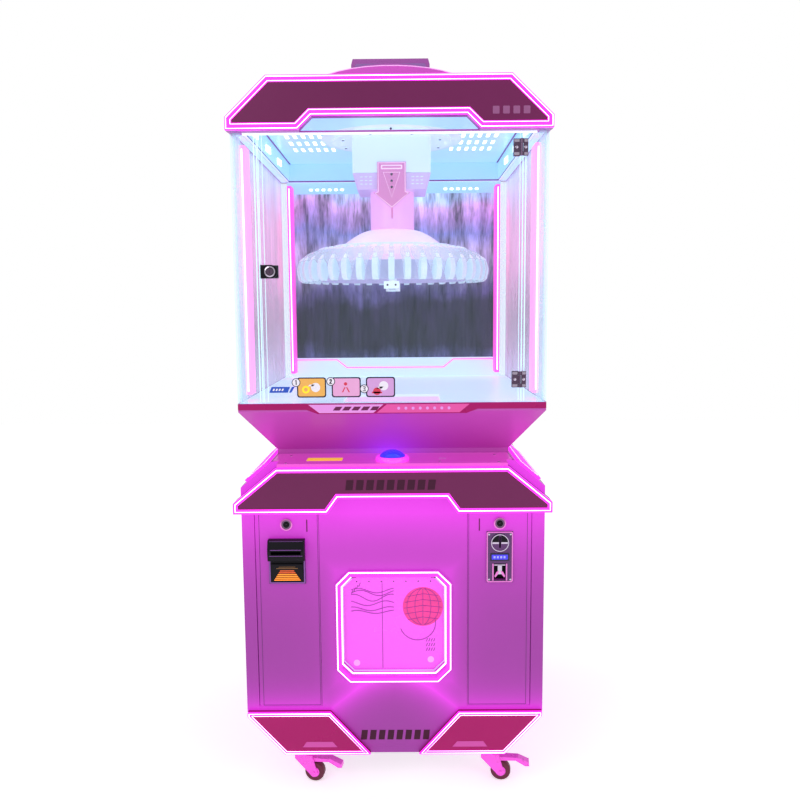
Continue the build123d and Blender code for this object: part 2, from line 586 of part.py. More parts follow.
# The working clip at the front, which swings up on its pin.
with BuildPart() as front_clip:
    with Locations(Location((0, CAROUSEL_Y, 0), (0, 0, -90))):
        add(one_clip.part)
    with Locations(Location((0, CAROUSEL_Y - CLIP_PIN_R, CLIP_PIN_Z), (0, 90, 0))):
        Cylinder(PIN + RUNNING, CLIP_WIDTH + 2, mode=Mode.SUBTRACT)
save("front_clip", front_clip)

# ---- console controls ----

BUTTON_RADIUS = 30.5

# Ring round the start button, standing on the console plate.
with BuildPart() as button_base:
    rod(0, BUTTON_Y, CONSOLE_Z, CONSOLE_Z + 10, 40)
    fillet(button_base.edges().group_by(Axis.Z)[-1], 4)
    rod(0, BUTTON_Y, CONSOLE_Z, CONSOLE_Z + 10, BUTTON_RADIUS + 0.5, Mode.SUBTRACT)
save("button_base", button_base)

# Domed start button that sinks into the ring.
DOME_FOOT_Z = CONSOLE_Z + 12
DOME_HEIGHT = 14.0
dome_sphere = (BUTTON_RADIUS**2 + DOME_HEIGHT**2) / (2 * DOME_HEIGHT)
with BuildPart() as start_button:
    with Locations((0, BUTTON_Y, DOME_FOOT_Z + DOME_HEIGHT - dome_sphere)):
        Sphere(dome_sphere)
    rod(0, BUTTON_Y, CONSOLE_Z + 4.5, CONSOLE_Z + 60, BUTTON_RADIUS, Mode.INTERSECT)
save("start_button", start_button)

# ---- glass door ----

LOCK_X = -280.0
LOCK_Z = 1276.0
PLUG_RADIUS = 8.0

# Frameless door pane with the lock hole.
with BuildPart() as glass_door:
    block(-302, 299, FRONT, FRONT + GLASS, CASE_FLOOR_Z + 2, GLASS_TOP_Z - 2)
    plug(LOCK_X, FRONT, FRONT + GLASS, LOCK_Z, 11, Mode.SUBTRACT)
save("glass_door", glass_door)

CLAMP_HEIGHTS = (1021.0, 1552.0)
CLAMP_HALF = 19.0          # half height of a clamp
KNUCKLE_HALF = 9.0         # half height of the door's knuckle
KNUCKLE = 3.0

# Clamps on the door with the hinge barrels.
with BuildPart() as door_clamps:
    for z in CLAMP_HEIGHTS:
        low = z - KNUCKLE_HALF
        high = z + KNUCKLE_HALF
        for near, far in ((FRONT - SHEET, FRONT), (FRONT + GLASS, FRONT + GLASS + SHEET)):
            block(GLASS_HINGE_X - 18, GLASS_HINGE_X - 3, near, far, z - CLAMP_HALF, z + CLAMP_HALF)
        rod(GLASS_HINGE_X, GLASS_HINGE_Y, low, high, KNUCKLE)
        block(GLASS_HINGE_X - 4, GLASS_HINGE_X, FRONT - 5, FRONT - SHEET, low, high)
        rod(GLASS_HINGE_X, GLASS_HINGE_Y, low, high, PIN + RUNNING, Mode.SUBTRACT)
        block(GLASS_HINGE_X - 6, GLASS_HINGE_X - 3, FRONT - 5, FRONT, low, high)
save("door_clamps", door_clamps)

# D-shaped lock case clamped over the pane.
with BuildPart() as door_lock:
    with BuildSketch(front_plane(FRONT)):
        with Locations((LOCK_X - 2, LOCK_Z)):
            SlotCenterToCenter(8, 31)
        with Locations((LOCK_X - 12, LOCK_Z)):
            Rectangle(20, 31)
    extrude(amount=7)
    block(-300, -262, FRONT + GLASS, FRONT + GLASS + 4, LOCK_Z - 15, LOCK_Z + 15)
    plug(LOCK_X, FRONT - 7, FRONT + 12, LOCK_Z, PLUG_RADIUS + RUNNING, Mode.SUBTRACT)
save("door_lock", door_lock)

# Key cylinder of the glass door.
with BuildPart() as glass_lock_plug:
    plug(LOCK_X, FRONT - 9, FRONT + 10, LOCK_Z, PLUG_RADIUS)
    block(LOCK_X - 1, LOCK_X + 1, FRONT - 9, FRONT - 5, LOCK_Z - 4, LOCK_Z + 4, Mode.SUBTRACT)
save("glass_lock_plug", glass_lock_plug)

# ---- cabinet doors ----

ACCEPTOR_X = 257.0
LOCK_HEIGHT = 674.0


def door_leaf(side):
    """Flat door leaf with its rolled hinge bead, finger recess and lock hole."""
    bead_x = side * (DOOR_OUTER - BEAD)
    inner, outer = sorted((side * DOOR_INNER, bead_x))
    block(inner, outer, FRONT, FRONT + SHEET, DOOR_BOTTOM, DOOR_TOP)
    rod(bead_x, FRONT + BEAD, DOOR_BOTTOM, DOOR_TOP, BEAD)
    slot_x = side * 208
    block(slot_x - 1.5, slot_x + 1.5, FRONT, FRONT + 1.5, 654, 686, Mode.SUBTRACT)
    for low, high in ((DOOR_BOTTOM, DOOR_BOTTOM + 20), (DOOR_TOP - 20, DOOR_TOP)):
        rod(bead_x, FRONT + BEAD, low, high, PIN + RUNNING, Mode.SUBTRACT)
    plug(side * ACCEPTOR_X, FRONT, FRONT + SHEET, LOCK_HEIGHT, LOCK_RADIUS + RUNNING, Mode.SUBTRACT)


BILL_Z = 583.5
COIN_Z = 591.0

# Left door, cut out for the bill acceptor.
with BuildPart() as left_door:
    door_leaf(-1)
    block(-ACCEPTOR_X - 39, -ACCEPTOR_X + 39, FRONT, FRONT + SHEET, BILL_Z - 50, BILL_Z + 50, Mode.SUBTRACT)
save("left_door", left_door)

# Right door, cut out for the coin acceptor.
with BuildPart() as right_door:
    door_leaf(1)
    block(ACCEPTOR_X - 28, ACCEPTOR_X + 28, FRONT, FRONT + SHEET, COIN_Z - 57, COIN_Z + 57, Mode.SUBTRACT)
save("right_door", right_door)

# Bill acceptor: bezel, protruding mouth with its slot, and the body behind the door.
with BuildPart() as bill_acceptor:
    block(-ACCEPTOR_X - 44, -ACCEPTOR_X + 44, FRONT - 5, FRONT, BILL_Z - 55.5, BILL_Z + 55.5)
    block(-ACCEPTOR_X - 38, -ACCEPTOR_X + 38, FRONT, FRONT + 105, BILL_Z - 49, BILL_Z + 49)
    with BuildSketch(Plane.YZ.offset(-ACCEPTOR_X - 44)):
        Polygon((FRONT - 5, BILL_Z + 55.5), (FRONT - 5, BILL_Z), (FRONT - 22, BILL_Z + 6),
                (FRONT - 26, BILL_Z + 30), (FRONT - 18, BILL_Z + 55.5), align=None)
    extrude(amount=88)
    block(-ACCEPTOR_X - 36, -ACCEPTOR_X + 36, FRONT - 40, FRONT + 4,
          BILL_Z + 22, BILL_Z + 30, Mode.SUBTRACT)
save("bill_acceptor", bill_acceptor)

# Coin acceptor: face plate with the coin entry and the return recess, and the body behind.
with BuildPart() as coin_acceptor:
    block(ACCEPTOR_X - 32, ACCEPTOR_X + 32, FRONT - 4, FRONT, COIN_Z - 63, COIN_Z + 63)
    block(ACCEPTOR_X - 27, ACCEPTOR_X + 27, FRONT, FRONT + 70, COIN_Z - 56, COIN_Z + 56)
    plug(ACCEPTOR_X, FRONT - 8, FRONT - 4, COIN_Z + 36, 21)
    block(ACCEPTOR_X - 2, ACCEPTOR_X + 2, FRONT - 8, FRONT + 20, COIN_Z + 24, COIN_Z + 52, Mode.SUBTRACT)
    block(ACCEPTOR_X - 14, ACCEPTOR_X + 14, FRONT - 4, FRONT + 14, COIN_Z - 58, COIN_Z - 16, Mode.SUBTRACT)
save("coin_acceptor", coin_acceptor)

# Return lever in the recess, hinged at its top.
with BuildPart() as coin_return:
    with Locations(Location((ACCEPTOR_X, FRONT - 2, COIN_Z - 20), (0, 90, 0))):
        Cylinder(2.5, 27)
    block(ACCEPTOR_X - 5, ACCEPTOR_X + 5, FRONT - 7, FRONT - 3, COIN_Z - 42, COIN_Z - 20)
save("coin_return", coin_return)


def lock_plug(side):
    """Key lock of a cabinet door with its cam behind the leaf."""
    x = side * ACCEPTOR_X
    plug(x, FRONT - 4, FRONT, LOCK_HEIGHT, 14)
    plug(x, FRONT, FRONT + 18, LOCK_HEIGHT, LOCK_RADIUS)
    block(x - 5, x + 5, FRONT + 14, FRONT + 17, LOCK_HEIGHT - 26, LOCK_HEIGHT)
    block(x - 1, x + 1, FRONT - 4, FRONT - 1, LOCK_HEIGHT - 4, LOCK_HEIGHT + 4, Mode.SUBTRACT)


with BuildPart() as left_lock:
    lock_plug(-1)
save("left_lock", left_lock)

with BuildPart() as right_lock:
    lock_plug(1)
save("right_lock", right_lock)

# Fixed hinge parts: leaves with knuckles and pins beside the glass door, two pins for each
# cabinet door, and the rod of the prize flap.
with BuildPart() as hinge_pins:
    for z in CLAMP_HEIGHTS:
        bottom = z - CLAMP_HALF
        top = z + CLAMP_HALF
        block(GLASS_HINGE_X + 4, GLASS_HINGE_X + 15, FRONT - SHEET, FRONT, bottom, top)
        for low, high in ((bottom, z - KNUCKLE_HALF - 0.4), (z + KNUCKLE_HALF + 0.4, top)):
            rod(GLASS_HINGE_X, GLASS_HINGE_Y, low, high, KNUCKLE)
            block(GLASS_HINGE_X, GLASS_HINGE_X + 6, FRONT - 5, FRONT - SHEET, low, high)
        rod(GLASS_HINGE_X, GLASS_HINGE_Y, bottom, top, PIN)
    for side in (-1, 1):
        for low, high in ((DOOR_BOTTOM - 11, DOOR_BOTTOM + 18), (DOOR_TOP - 18, DOOR_TOP + 11)):
            rod(side * (DOOR_OUTER - BEAD), FRONT + BEAD, low, high, PIN)
    with Locations(Location((0, FLAP_Y, FLAP_Z), (0, 90, 0))):
        Cylinder(PIN, 2 * BIN_INSIDE)
save("hinge_pins", hinge_pins)

# ---- inside the cabinet ----

# Switched-mode supply on the bottom pan.
with BuildPart() as power_supply:
    block(120, 250, 120, 330, PAN_TOP, PAN_TOP + 50)
    block(120, 250, 108, 120, PAN_TOP, PAN_TOP + 26)
save("power_supply", power_supply)

# Game control board on its stand-offs.
with BuildPart() as control_board:
    board_top = PAN_TOP + 10
    block(-250, -90, 130, 330, PAN_TOP + 8, board_top)
    with Locations((-170, 230, PAN_TOP + 4)):
        with GridLocations(140, 180, 2, 2):
            Cylinder(3, 8)
    block(-245, -225, 150, 300, board_top, board_top + 12)
    block(-190, -150, 200, 240, board_top, board_top + 4)
save("control_board", control_board)

# Cash box that stands under the coin acceptor.
with BuildPart() as coin_box:
    block(186, 256, -330, -190, 115, 240)
    block(188, 254, -328, -192, 118, 240, Mode.SUBTRACT)
save("coin_box", coin_box)

# Mains inlet in the rear sheet. Its cord is not part of the machine.
with BuildPart() as power_inlet:
    block(INLET_X - 24, INLET_X + 24, BACK - 26, BACK, INLET_Z - 14, INLET_Z + 14)
    block(INLET_X - 18, INLET_X, BACK - 14, BACK, INLET_Z - 10, INLET_Z + 10, Mode.SUBTRACT)
save("power_inlet", power_inlet)

# ---- casters ----

RACE_Z = CABINET_BOTTOM - 14        # underside of the ball race


def caster_plate(x, y):
    """Top plate and ball race of a caster, bolted under the bottom pan."""
    block(x - 32, x + 32, y - 32, y + 32, CABINET_BOTTOM - SHEET, CABINET_BOTTOM)
    rod(x, y, RACE_Z, CABINET_BOTTOM - SHEET, 20)


with BuildPart() as caster_plates:
    for x in (-CASTER_X, CASTER_X):
        for y in (CASTER_FRONT_Y, CASTER_BACK_Y):
            caster_plate(x, y)
save("caster_plates", caster_plates)

# Yaw of each caster at rest: the direction in which its wheel trails.
CASTERS = {
    "front_left": (-CASTER_X, CASTER_FRONT_Y, -10.0),
    "front_right": (CASTER_X, CASTER_FRONT_Y, -8.0),
    "rear_left": (-CASTER_X, CASTER_BACK_Y, -20.0),
    "rear_right": (CASTER_X, CASTER_BACK_Y, -4.0),
}
FORK_TOP = RACE_Z - 0.4
CROWN_Z = FORK_TOP - 12
CHEEK_Y = WHEEL_WIDTH / 2 + 2       # inner face of a fork cheek
CHEEK = 2.5
AXLE = 3.0
PEDAL_X = 22.0                      # pivot of a brake pedal in its fork's frame
PEDAL_Z = 57.0
PEDAL_WIDTH = 21.0

for corner, (x, y, yaw) in CASTERS.items():
    # In a caster's own frame the wheel trails along local x, with a cheek either side in y.
    trail_dir = (cos(radians(yaw)), sin(radians(yaw)), 0)
    fork_plane = Plane((x, y, 0), x_dir=trail_dir)
    side_plane = Plane((x, y, 0), x_dir=trail_dir, z_dir=(sin(radians(yaw)), -cos(radians(yaw)), 0))
    braked = corner.startswith("front")
    with BuildPart(fork_plane) as fork:
        with Locations((0, 0, FORK_TOP - 3)):
            Cylinder(19, 6)
        with Locations((6, 0, CROWN_Z + 3)):
            Box(46, 2 * (CHEEK_Y + CHEEK), 6)
        for inner_face in (CHEEK_Y, -CHEEK_Y - CHEEK):
            with BuildSketch(side_plane.offset(inner_face)):
                with BuildLine():
                    Polyline((29, CROWN_Z + 2), (-17, CROWN_Z + 2), (-17, CROWN_Z - 4),
                             (TRAIL - 9, WHEEL_RADIUS - 6))
                    ThreePointArc((TRAIL - 9, WHEEL_RADIUS - 6), (TRAIL + 1, WHEEL_RADIUS - 11),
                                  (TRAIL + 10, WHEEL_RADIUS - 2))
                    Line((TRAIL + 10, WHEEL_RADIUS - 2), (29, CROWN_Z + 2))
                make_face()
            extrude(amount=CHEEK)
        with Locations(Location((TRAIL, 0, WHEEL_RADIUS), (90, 0, 0))):
            Cylinder(AXLE, 2 * (CHEEK_Y + CHEEK) + 4)
        if braked:
            with Locations(Location((PEDAL_X, 0, PEDAL_Z), (90, 0, 0))):
                Cylinder(PIN, 2 * CHEEK_Y)
    save(f"caster_fork_{corner}", fork)
    with BuildPart(fork_plane) as wheel:
        with Locations(Location((TRAIL, 0, WHEEL_RADIUS), (90, 0, 0))):
            Cylinder(WHEEL_RADIUS, WHEEL_WIDTH)
            Cylinder(AXLE + RUNNING, WHEEL_WIDTH, mode=Mode.SUBTRACT)
        fillet(wheel.edges().filter_by(GeomType.CIRCLE).group_by(SortBy.RADIUS)[-1], 4)
    save(f"caster_wheel_{corner}", wheel)
    if braked:
        with BuildPart(fork_plane) as pedal:
            with BuildSketch(side_plane.offset(-PEDAL_WIDTH / 2)):
                Polygon((PEDAL_X - 5, PEDAL_Z - 4), (PEDAL_X + 12, PEDAL_Z - 4), (70, PEDAL_Z - 2),
                        (94, 42), (104, 43), (103, 52), (76, PEDAL_Z + 6), (PEDAL_X + 6, PEDAL_Z + 5),
                        (PEDAL_X - 5, PEDAL_Z + 5), align=None)
            extrude(amount=PEDAL_WIDTH)
            with Locations(Location((PEDAL_X, 0, PEDAL_Z), (90, 0, 0))):
                Cylinder(PIN + RUNNING, PEDAL_WIDTH, mode=Mode.SUBTRACT)
        save(f"brake_pedal_{corner}", pedal)
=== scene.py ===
import math

import bmesh
import bpy
from mathutils import Matrix, Vector


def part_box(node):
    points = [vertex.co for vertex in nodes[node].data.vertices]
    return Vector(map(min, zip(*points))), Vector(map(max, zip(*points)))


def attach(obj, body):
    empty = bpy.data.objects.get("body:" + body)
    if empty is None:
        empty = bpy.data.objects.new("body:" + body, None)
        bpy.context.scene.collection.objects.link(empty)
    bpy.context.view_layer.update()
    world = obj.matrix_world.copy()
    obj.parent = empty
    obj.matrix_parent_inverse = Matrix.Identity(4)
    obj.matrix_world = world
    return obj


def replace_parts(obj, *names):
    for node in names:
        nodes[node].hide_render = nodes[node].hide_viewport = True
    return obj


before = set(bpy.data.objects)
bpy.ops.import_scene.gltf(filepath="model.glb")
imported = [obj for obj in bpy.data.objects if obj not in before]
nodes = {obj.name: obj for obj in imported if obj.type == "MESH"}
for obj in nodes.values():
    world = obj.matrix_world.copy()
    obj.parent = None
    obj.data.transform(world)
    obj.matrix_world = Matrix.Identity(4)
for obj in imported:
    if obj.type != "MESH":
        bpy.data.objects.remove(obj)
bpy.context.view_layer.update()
link_object = bpy.context.scene.collection.objects.link

# ---- places, in millimetres, from the frame ----
MM = 0.001


def corners(node):
    """Low and high corner of a CAD node's box, in millimetres."""
    low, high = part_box(node)
    return low / MM, high / MM


FRONT = corners("front_panel")[0].y          # face of the cabinet and of the glass
BACK = corners("back_panel")[1].y
HALF = corners("back_panel")[1].x
FLOOR_Z = corners("case_floor")[1].z
GLASS_TOP = corners("case_glass")[1].z
CEILING_Z = corners("ceiling_panel")[0].z
CONSOLE_Z = corners("button_base")[0].z
AXIS_Y = sum(corner.y for corner in corners("pillar")) / 2
CANOPY_TOP = corners("roof_shell")[1].z
PRIZE_LOW, PRIZE_HIGH = corners("prize_frame")
DOOR_LOW, DOOR_HIGH = corners("glass_door")
SKIRTING_TOP, HEADER_FOOT = FLOOR_Z + 62, GLASS_TOP - 36     # ends of the rear pane's film
BAND_LOW_Z = corners("light_boxes")[0].z
TRIM_TOP_Z = corners("front_panel")[0].z + 112


def linear(code):
    """The linear colour of an sRGB hex code."""
    values = [int(code[i:i + 2], 16) / 255 for i in (1, 3, 5)]
    return [v / 12.92 if v <= 0.04045 else ((v + 0.055) / 1.055) ** 2.4 for v in values] + [1.0]


def scaled(colour, factor):
    """A colour made lighter or darker."""
    return [min(1.0, c * factor) for c in colour[:3]] + [1.0]


def fill(node, values):
    """Give a node's sockets their values."""
    for key, value in values.items():
        node.inputs[key].default_value = value


def add(tree, kind, inputs=None, **settings):
    """A shader node with its settings and the values of its sockets."""
    made = tree.nodes.new(kind)
    for key, value in settings.items():
        setattr(made, key, value)
    fill(made, inputs or {})
    return made


def mix(tree, low, high=(0, 0, 0, 1), **settings):
    """A mix of two colours; sockets 0, 6 and 7 are the share and the colours, output 2 the mix."""
    return add(tree, "ShaderNodeMix", {6: low, 7: high}, data_type="RGBA", **settings)


def maths(tree, operation, first, second=0.0):
    """A math node; each operand is a socket or a number."""
    made = add(tree, "ShaderNodeMath", operation=operation)
    for socket, value in zip(made.inputs, (first, second)):
        if isinstance(value, (int, float)):
            socket.default_value = value
        else:
            tree.links.new(value, socket)
    return made.outputs[0]


def new_material(name):
    """An empty node material, with its node tree and its Principled surface."""
    material = bpy.data.materials.new(name)
    material.use_nodes = True
    return material, material.node_tree, material.node_tree.nodes["Principled BSDF"]


def finish(name, code, rough=0.4, metal=0.0, coat=0.0, mottle=0.08, patch=6.0, grain=350.0,
           bump=0.05, stretch=(1, 1, 1), glow=0.0, glow_code=None, near=None, shine_level=0.5):
    """An opaque finish: patchy colour and gloss, fine grain in the bump, and glow: a lamp's own
    light, and painted light on parts that are no lamp.

    near is a function that adds to the glow where a light strip is close: a painted pool of the
    strip's light."""
    material, tree, surface = new_material(name)
    coords = add(tree, "ShaderNodeTexCoord")
    place = add(tree, "ShaderNodeMapping", {"Scale": stretch})
    cloud = add(tree, "ShaderNodeTexNoise", {"Scale": patch, "Detail": 5.0, "Roughness": 0.6})
    fine = add(tree, "ShaderNodeTexNoise", {"Scale": grain, "Detail": 2.0})
    base = linear(code)
    tone = mix(tree, scaled(base, 1 - mottle), scaled(base, 1 + mottle))
    gloss = add(tree, "ShaderNodeMapRange",
                {"To Min": max(0.03, rough - 0.07), "To Max": rough + 0.10})
    relief = add(tree, "ShaderNodeBump", {"Strength": bump, "Distance": 0.0006})
    link = tree.links.new
    link(coords.outputs["Object"], place.inputs["Vector"])
    link(place.outputs["Vector"], cloud.inputs["Vector"])
    link(place.outputs["Vector"], fine.inputs["Vector"])
    link(cloud.outputs["Fac"], tone.inputs[0])
    link(cloud.outputs["Fac"], gloss.inputs["Value"])
    link(tone.outputs[2], surface.inputs["Base Color"])
    link(gloss.outputs["Result"], surface.inputs["Roughness"])
    link(fine.outputs["Fac"], relief.inputs["Height"])
    link(relief.outputs["Normal"], surface.inputs["Normal"])
    fill(surface, {"Metallic": metal, "Specular IOR Level": shine_level, "Coat Weight": coat,
                   "Coat Roughness": 0.08})
    if glow:
        lit = linear(glow_code or code)
        shine = mix(tree, scaled(lit, 0.88), scaled(lit, 1.08))
        link(cloud.outputs["Fac"], shine.inputs[0])
        surface.inputs["Emission Strength"].default_value = glow
        if near is None:
            link(shine.outputs[2], surface.inputs["Emission Color"])
        else:
            split = add(tree, "ShaderNodeSeparateXYZ")
            link(coords.outputs["Object"], split.inputs[0])
            fade = mix(tree, (0, 0, 0, 1))
            link(near(tree, *split.outputs), fade.inputs[0])
            link(shine.outputs[2], fade.inputs[7])
            link(fade.outputs[2], surface.inputs["Emission Color"])
    return material


def clear(name, code, alpha, rough=0.04, glow=0.0, edge=0.0):
    """Clear plastic or glass: a thin tint that is denser in faint smears, with a gloss.

    edge adds a painted sheen where the surface turns away, and glow paints light into the tint."""
    material, tree, surface = new_material(name)
    coords = add(tree, "ShaderNodeTexCoord")
    smear = add(tree, "ShaderNodeTexNoise", {"Scale": 9.0, "Detail": 6.0, "Roughness": 0.7})
    gloss = add(tree, "ShaderNodeMapRange", {"To Min": rough, "To Max": rough + 0.08})
    tint = add(tree, "ShaderNodeMapRange", {"To Min": 0.7 * alpha, "To Max": 1.3 * alpha})
    base = linear(code)
    tone = mix(tree, scaled(base, 0.94), base)
    link = tree.links.new
    link(coords.outputs["Object"], smear.inputs["Vector"])
    for socket in (gloss.inputs["Value"], tint.inputs["Value"], tone.inputs[0]):
        link(smear.outputs["Fac"], socket)
    link(gloss.outputs["Result"], surface.inputs["Roughness"])
    sheen = add(tree, "ShaderNodeFresnel", {"IOR": 1.3})
    turned_away = maths(tree, "MULTIPLY", sheen.outputs[0], edge)
    link(maths(tree, "ADD", tint.outputs["Result"], turned_away), surface.inputs["Alpha"])
    link(tone.outputs[2], surface.inputs["Base Color"])
    link(tone.outputs[2], surface.inputs["Emission Color"])
    surface.inputs["Emission Strength"].default_value = glow
    return material


def painted_view(name, stops, alpha=1.0, reflection_streaks=(0.45, 1.35)):
    """A film that paints the view, light and reflections seen in a pane; stops are heights in mm
    and colours.

    Its upright streaks are painted reflections; their brightness ranges over the given pair."""
    material, tree, surface = new_material(name)
    coords = add(tree, "ShaderNodeTexCoord")
    split = add(tree, "ShaderNodeSeparateXYZ")
    low, high = stops[0][0], stops[-1][0]
    rise = add(tree, "ShaderNodeMapRange", {"From Min": low * MM, "From Max": high * MM})
    cloud = add(tree, "ShaderNodeTexNoise", {"Scale": 6.0, "Detail": 5.0, "Roughness": 0.6})
    upright = add(tree, "ShaderNodeMapping", {"Scale": (1.0, 1.0, 0.16)})
    reflection_streak = add(tree, "ShaderNodeTexNoise", {"Scale": 26.0, "Detail": 4.0, "Roughness": 0.75})
    ramp = add(tree, "ShaderNodeValToRGB")
    for height, code in stops[1:-1]:
        ramp.color_ramp.elements.new((height - low) / (high - low)).color = linear(code)
    ramp.color_ramp.elements[0].color = linear(stops[0][1])
    ramp.color_ramp.elements[-1].color = linear(stops[-1][1])
    link = tree.links.new
    link(coords.outputs["Object"], split.inputs[0])
    link(coords.outputs["Object"], cloud.inputs["Vector"])
    link(coords.outputs["Object"], upright.inputs["Vector"])
    link(upright.outputs["Vector"], reflection_streak.inputs["Vector"])
    link(split.outputs[2], rise.inputs["Value"])
    drift = maths(tree, "MULTIPLY", maths(tree, "SUBTRACT", cloud.outputs["Fac"], 0.5), 0.30)
    link(maths(tree, "ADD", rise.outputs["Result"], drift), ramp.inputs[0])
    contrast = add(tree, "ShaderNodeMapRange", {"From Min": 0.35, "From Max": 0.65,
                                                "To Min": reflection_streaks[0], "To Max": reflection_streaks[1]})
    link(reflection_streak.outputs["Fac"], contrast.inputs["Value"])
    tone = add(tree, "ShaderNodeMix", {0: 1.0}, data_type="RGBA", blend_type="MULTIPLY")
    link(ramp.outputs[0], tone.inputs[6])
    link(contrast.outputs["Result"], tone.inputs[7])
    link(tone.outputs[2], surface.inputs["Base Color"])
    link(tone.outputs[2], surface.inputs["Emission Color"])
    fill(surface, {"Emission Strength": 0.35, "Roughness": 0.4, "Specular IOR Level": 0.15,
                   "Alpha": alpha})
    return material


def strip_glow(tree, x, y, z):
    """Share of strip light on the cabinet front, from the distances to the strips round it."""
    side = maths(tree, "DIVIDE", maths(tree, "ABSOLUTE", x), MM)
    z = maths(tree, "DIVIDE", z, MM)
    middle = (PRIZE_LOW.z + PRIZE_HIGH.z) / 2
    across = maths(tree, "SUBTRACT", side, PRIZE_HIGH.x)
    upright = maths(tree, "ABSOLUTE", maths(tree, "SUBTRACT", z, middle))
    upright = maths(tree, "SUBTRACT", upright, (PRIZE_HIGH.z - PRIZE_LOW.z) / 2)
    prize = maths(tree, "MAXIMUM", maths(tree, "MAXIMUM", across, upright), 0.0)
    band = maths(tree, "MAXIMUM", maths(tree, "SUBTRACT", BAND_LOW_Z + 20, z), 0.0)
    slope = maths(tree, "MULTIPLY", maths(tree, "SUBTRACT", side, 160), 0.8)
    foot = maths(tree, "SUBTRACT", z, TRIM_TOP_Z)
    foot = maths(tree, "ABSOLUTE", maths(tree, "ADD", foot, maths(tree, "MINIMUM", slope, 0.0)))
    total = 0.0
    # reach: millimetres over which a strip's light falls to a third; weight: its share
    for distance, reach, weight in ((prize, 24, 0.4), (band, 105, 1.35), (foot, 34, 0.85)):
        fall = maths(tree, "EXPONENT", maths(tree, "DIVIDE", distance, -reach))
        total = maths(tree, "ADD", maths(tree, "MULTIPLY", fall, weight), total)
    return maths(tree, "MINIMUM", total, 1.15)


def button_glow(tree, x, y, z):
    """Share of the start button's light, which falls off round the button, wider than high."""
    away = maths(tree, "MULTIPLY", maths(tree, "ADD", x, 0.012), 0.75)
    up = maths(tree, "SUBTRACT", z, CONSOLE_Z * MM)
    away = maths(tree, "SQRT", maths(tree, "ADD", maths(tree, "MULTIPLY", away, away),
                                     maths(tree, "MULTIPLY", up, up)))
    return maths(tree, "EXPONENT", maths(tree, "DIVIDE", away, -0.045))


PAINT = finish("pink_paint", "#A83CAC", rough=0.36, coat=0.15, mottle=0.06,
               patch=3.0, grain=900, bump=0.08)
# Painted light: the front's magenta glow is a painted pool of the light strips' light, strongest
# beside the strips.
FACE = finish("front_paint", "#9C389E", rough=0.34, coat=0.1, mottle=0.07, patch=3.0,
              grain=900, bump=0.08, glow=0.60, glow_code="#FF2CFF", near=strip_glow,
              shine_level=0.35)
# Painted light: the neck's blue glow is the start button's light painted round it.
NECK = finish("neck_paint", "#C04CB4", rough=0.34, coat=0.2, mottle=0.06,
              patch=3.0, grain=900, bump=0.08, glow=0.9, glow_code="#5A28FF", near=button_glow)
# Painted light: the console's pink glow stands in for the strips' light on it.
CONSOLE = finish("console_paint", "#D048BE", rough=0.30, coat=0.3, mottle=0.06,
                 patch=4.0, grain=900, bump=0.08, glow=0.26, glow_code="#F050D8")
# The faint glow of the trim panels is painted light.
TRIM = finish("trim_panel", "#A00A60", rough=0.26, mottle=0.12, patch=4.0,
              glow=0.08, shine_level=0.25)
PLUM = finish("plum_panel", "#6C1E52", rough=0.34, mottle=0.14, patch=4.0,
              shine_level=0.25)
MARK = finish("dark_mark", "#40102E", mottle=0.12, patch=40, shine_level=0.2)
# The faint glow of these pale marks is painted light.
PLUM_MARK = finish("plum_mark", "#8E5080", rough=0.34, mottle=0.1, patch=40,
                   glow=0.08)
HALO = finish("strip_halo", "#F020E0", rough=0.5, mottle=0.05, glow=1.7,
              glow_code="#F428DC")
CORE = finish("strip_core", "#FFE2FF", rough=0.5, mottle=0.03, glow=2.4,
              glow_code="#FFD8FF")
CORE_DIM = finish("strip_core_dim", "#F8B4F4", rough=0.5, mottle=0.05, glow=0.5)
BAR = finish("light_bar", "#FF96DE", rough=0.5, mottle=0.06, glow=0.9,
             glow_code="#FF8ADC")
BAR_REAR = finish("light_bar_rear", "#FF50D0", rough=0.5, mottle=0.10, patch=30,
                  glow=0.7, glow_code="#FF48D0")
# Painted light: the glow of the case's floor, skirting, ledges, ceiling, linings and header stands
# in for the lamps' light on them.
LIT = finish("lit_case", "#D4EEF6", rough=0.35, mottle=0.04, patch=3.0, glow=0.38,
             glow_code="#D4F2FF")
CEILING = finish("ceiling_cyan", "#A4D4EE", rough=0.30, mottle=0.16, patch=5.0,
                 glow=0.42, glow_code="#A4D8F8")
SLOT = finish("slot_white", "#FFFFFF", mottle=0.02, glow=2.6, glow_code="#F4FCFF")
# The ledge skin's glow is painted light.
POST_SKIN = finish("ledge_cyan", "#BCE8F4", rough=0.3, mottle=0.05, glow=0.4)
SLOT_DIM = finish("header_white", "#F0FCFF", rough=0.3, mottle=0.03, glow=0.7)
# The corner posts' glow is painted light.
POST = clear("pale_post", "#C4EEFA", alpha=0.30, glow=0.25)
# Painted light: the glow of the head, pillar, dome and badge finishes stands in for the light on
# them.
HEAD = finish("head_white", "#DCF2FA", rough=0.30, coat=0.3, mottle=0.03,
              glow=0.25, glow_code="#D8F4FF")
LAVENDER = finish("head_lavender", "#CDBCEB", rough=0.35, coat=0.3, mottle=0.04,
                  glow=0.22)
PILLAR = finish("pillar_pink", "#EDB6F6", rough=0.35, coat=0.3, mottle=0.05,
                patch=4.0, glow=0.28)
DOME = finish("dome_pink", "#FBE0F6", rough=0.35, coat=0.3, mottle=0.04, glow=0.32)
BADGE = finish("badge_pink", "#E08CC4", rough=0.35, coat=0.3, mottle=0.05,
               glow=0.15)
BADGE_LINE = finish("badge_line", "#FBD8F2", mottle=0.03, glow=0.35)
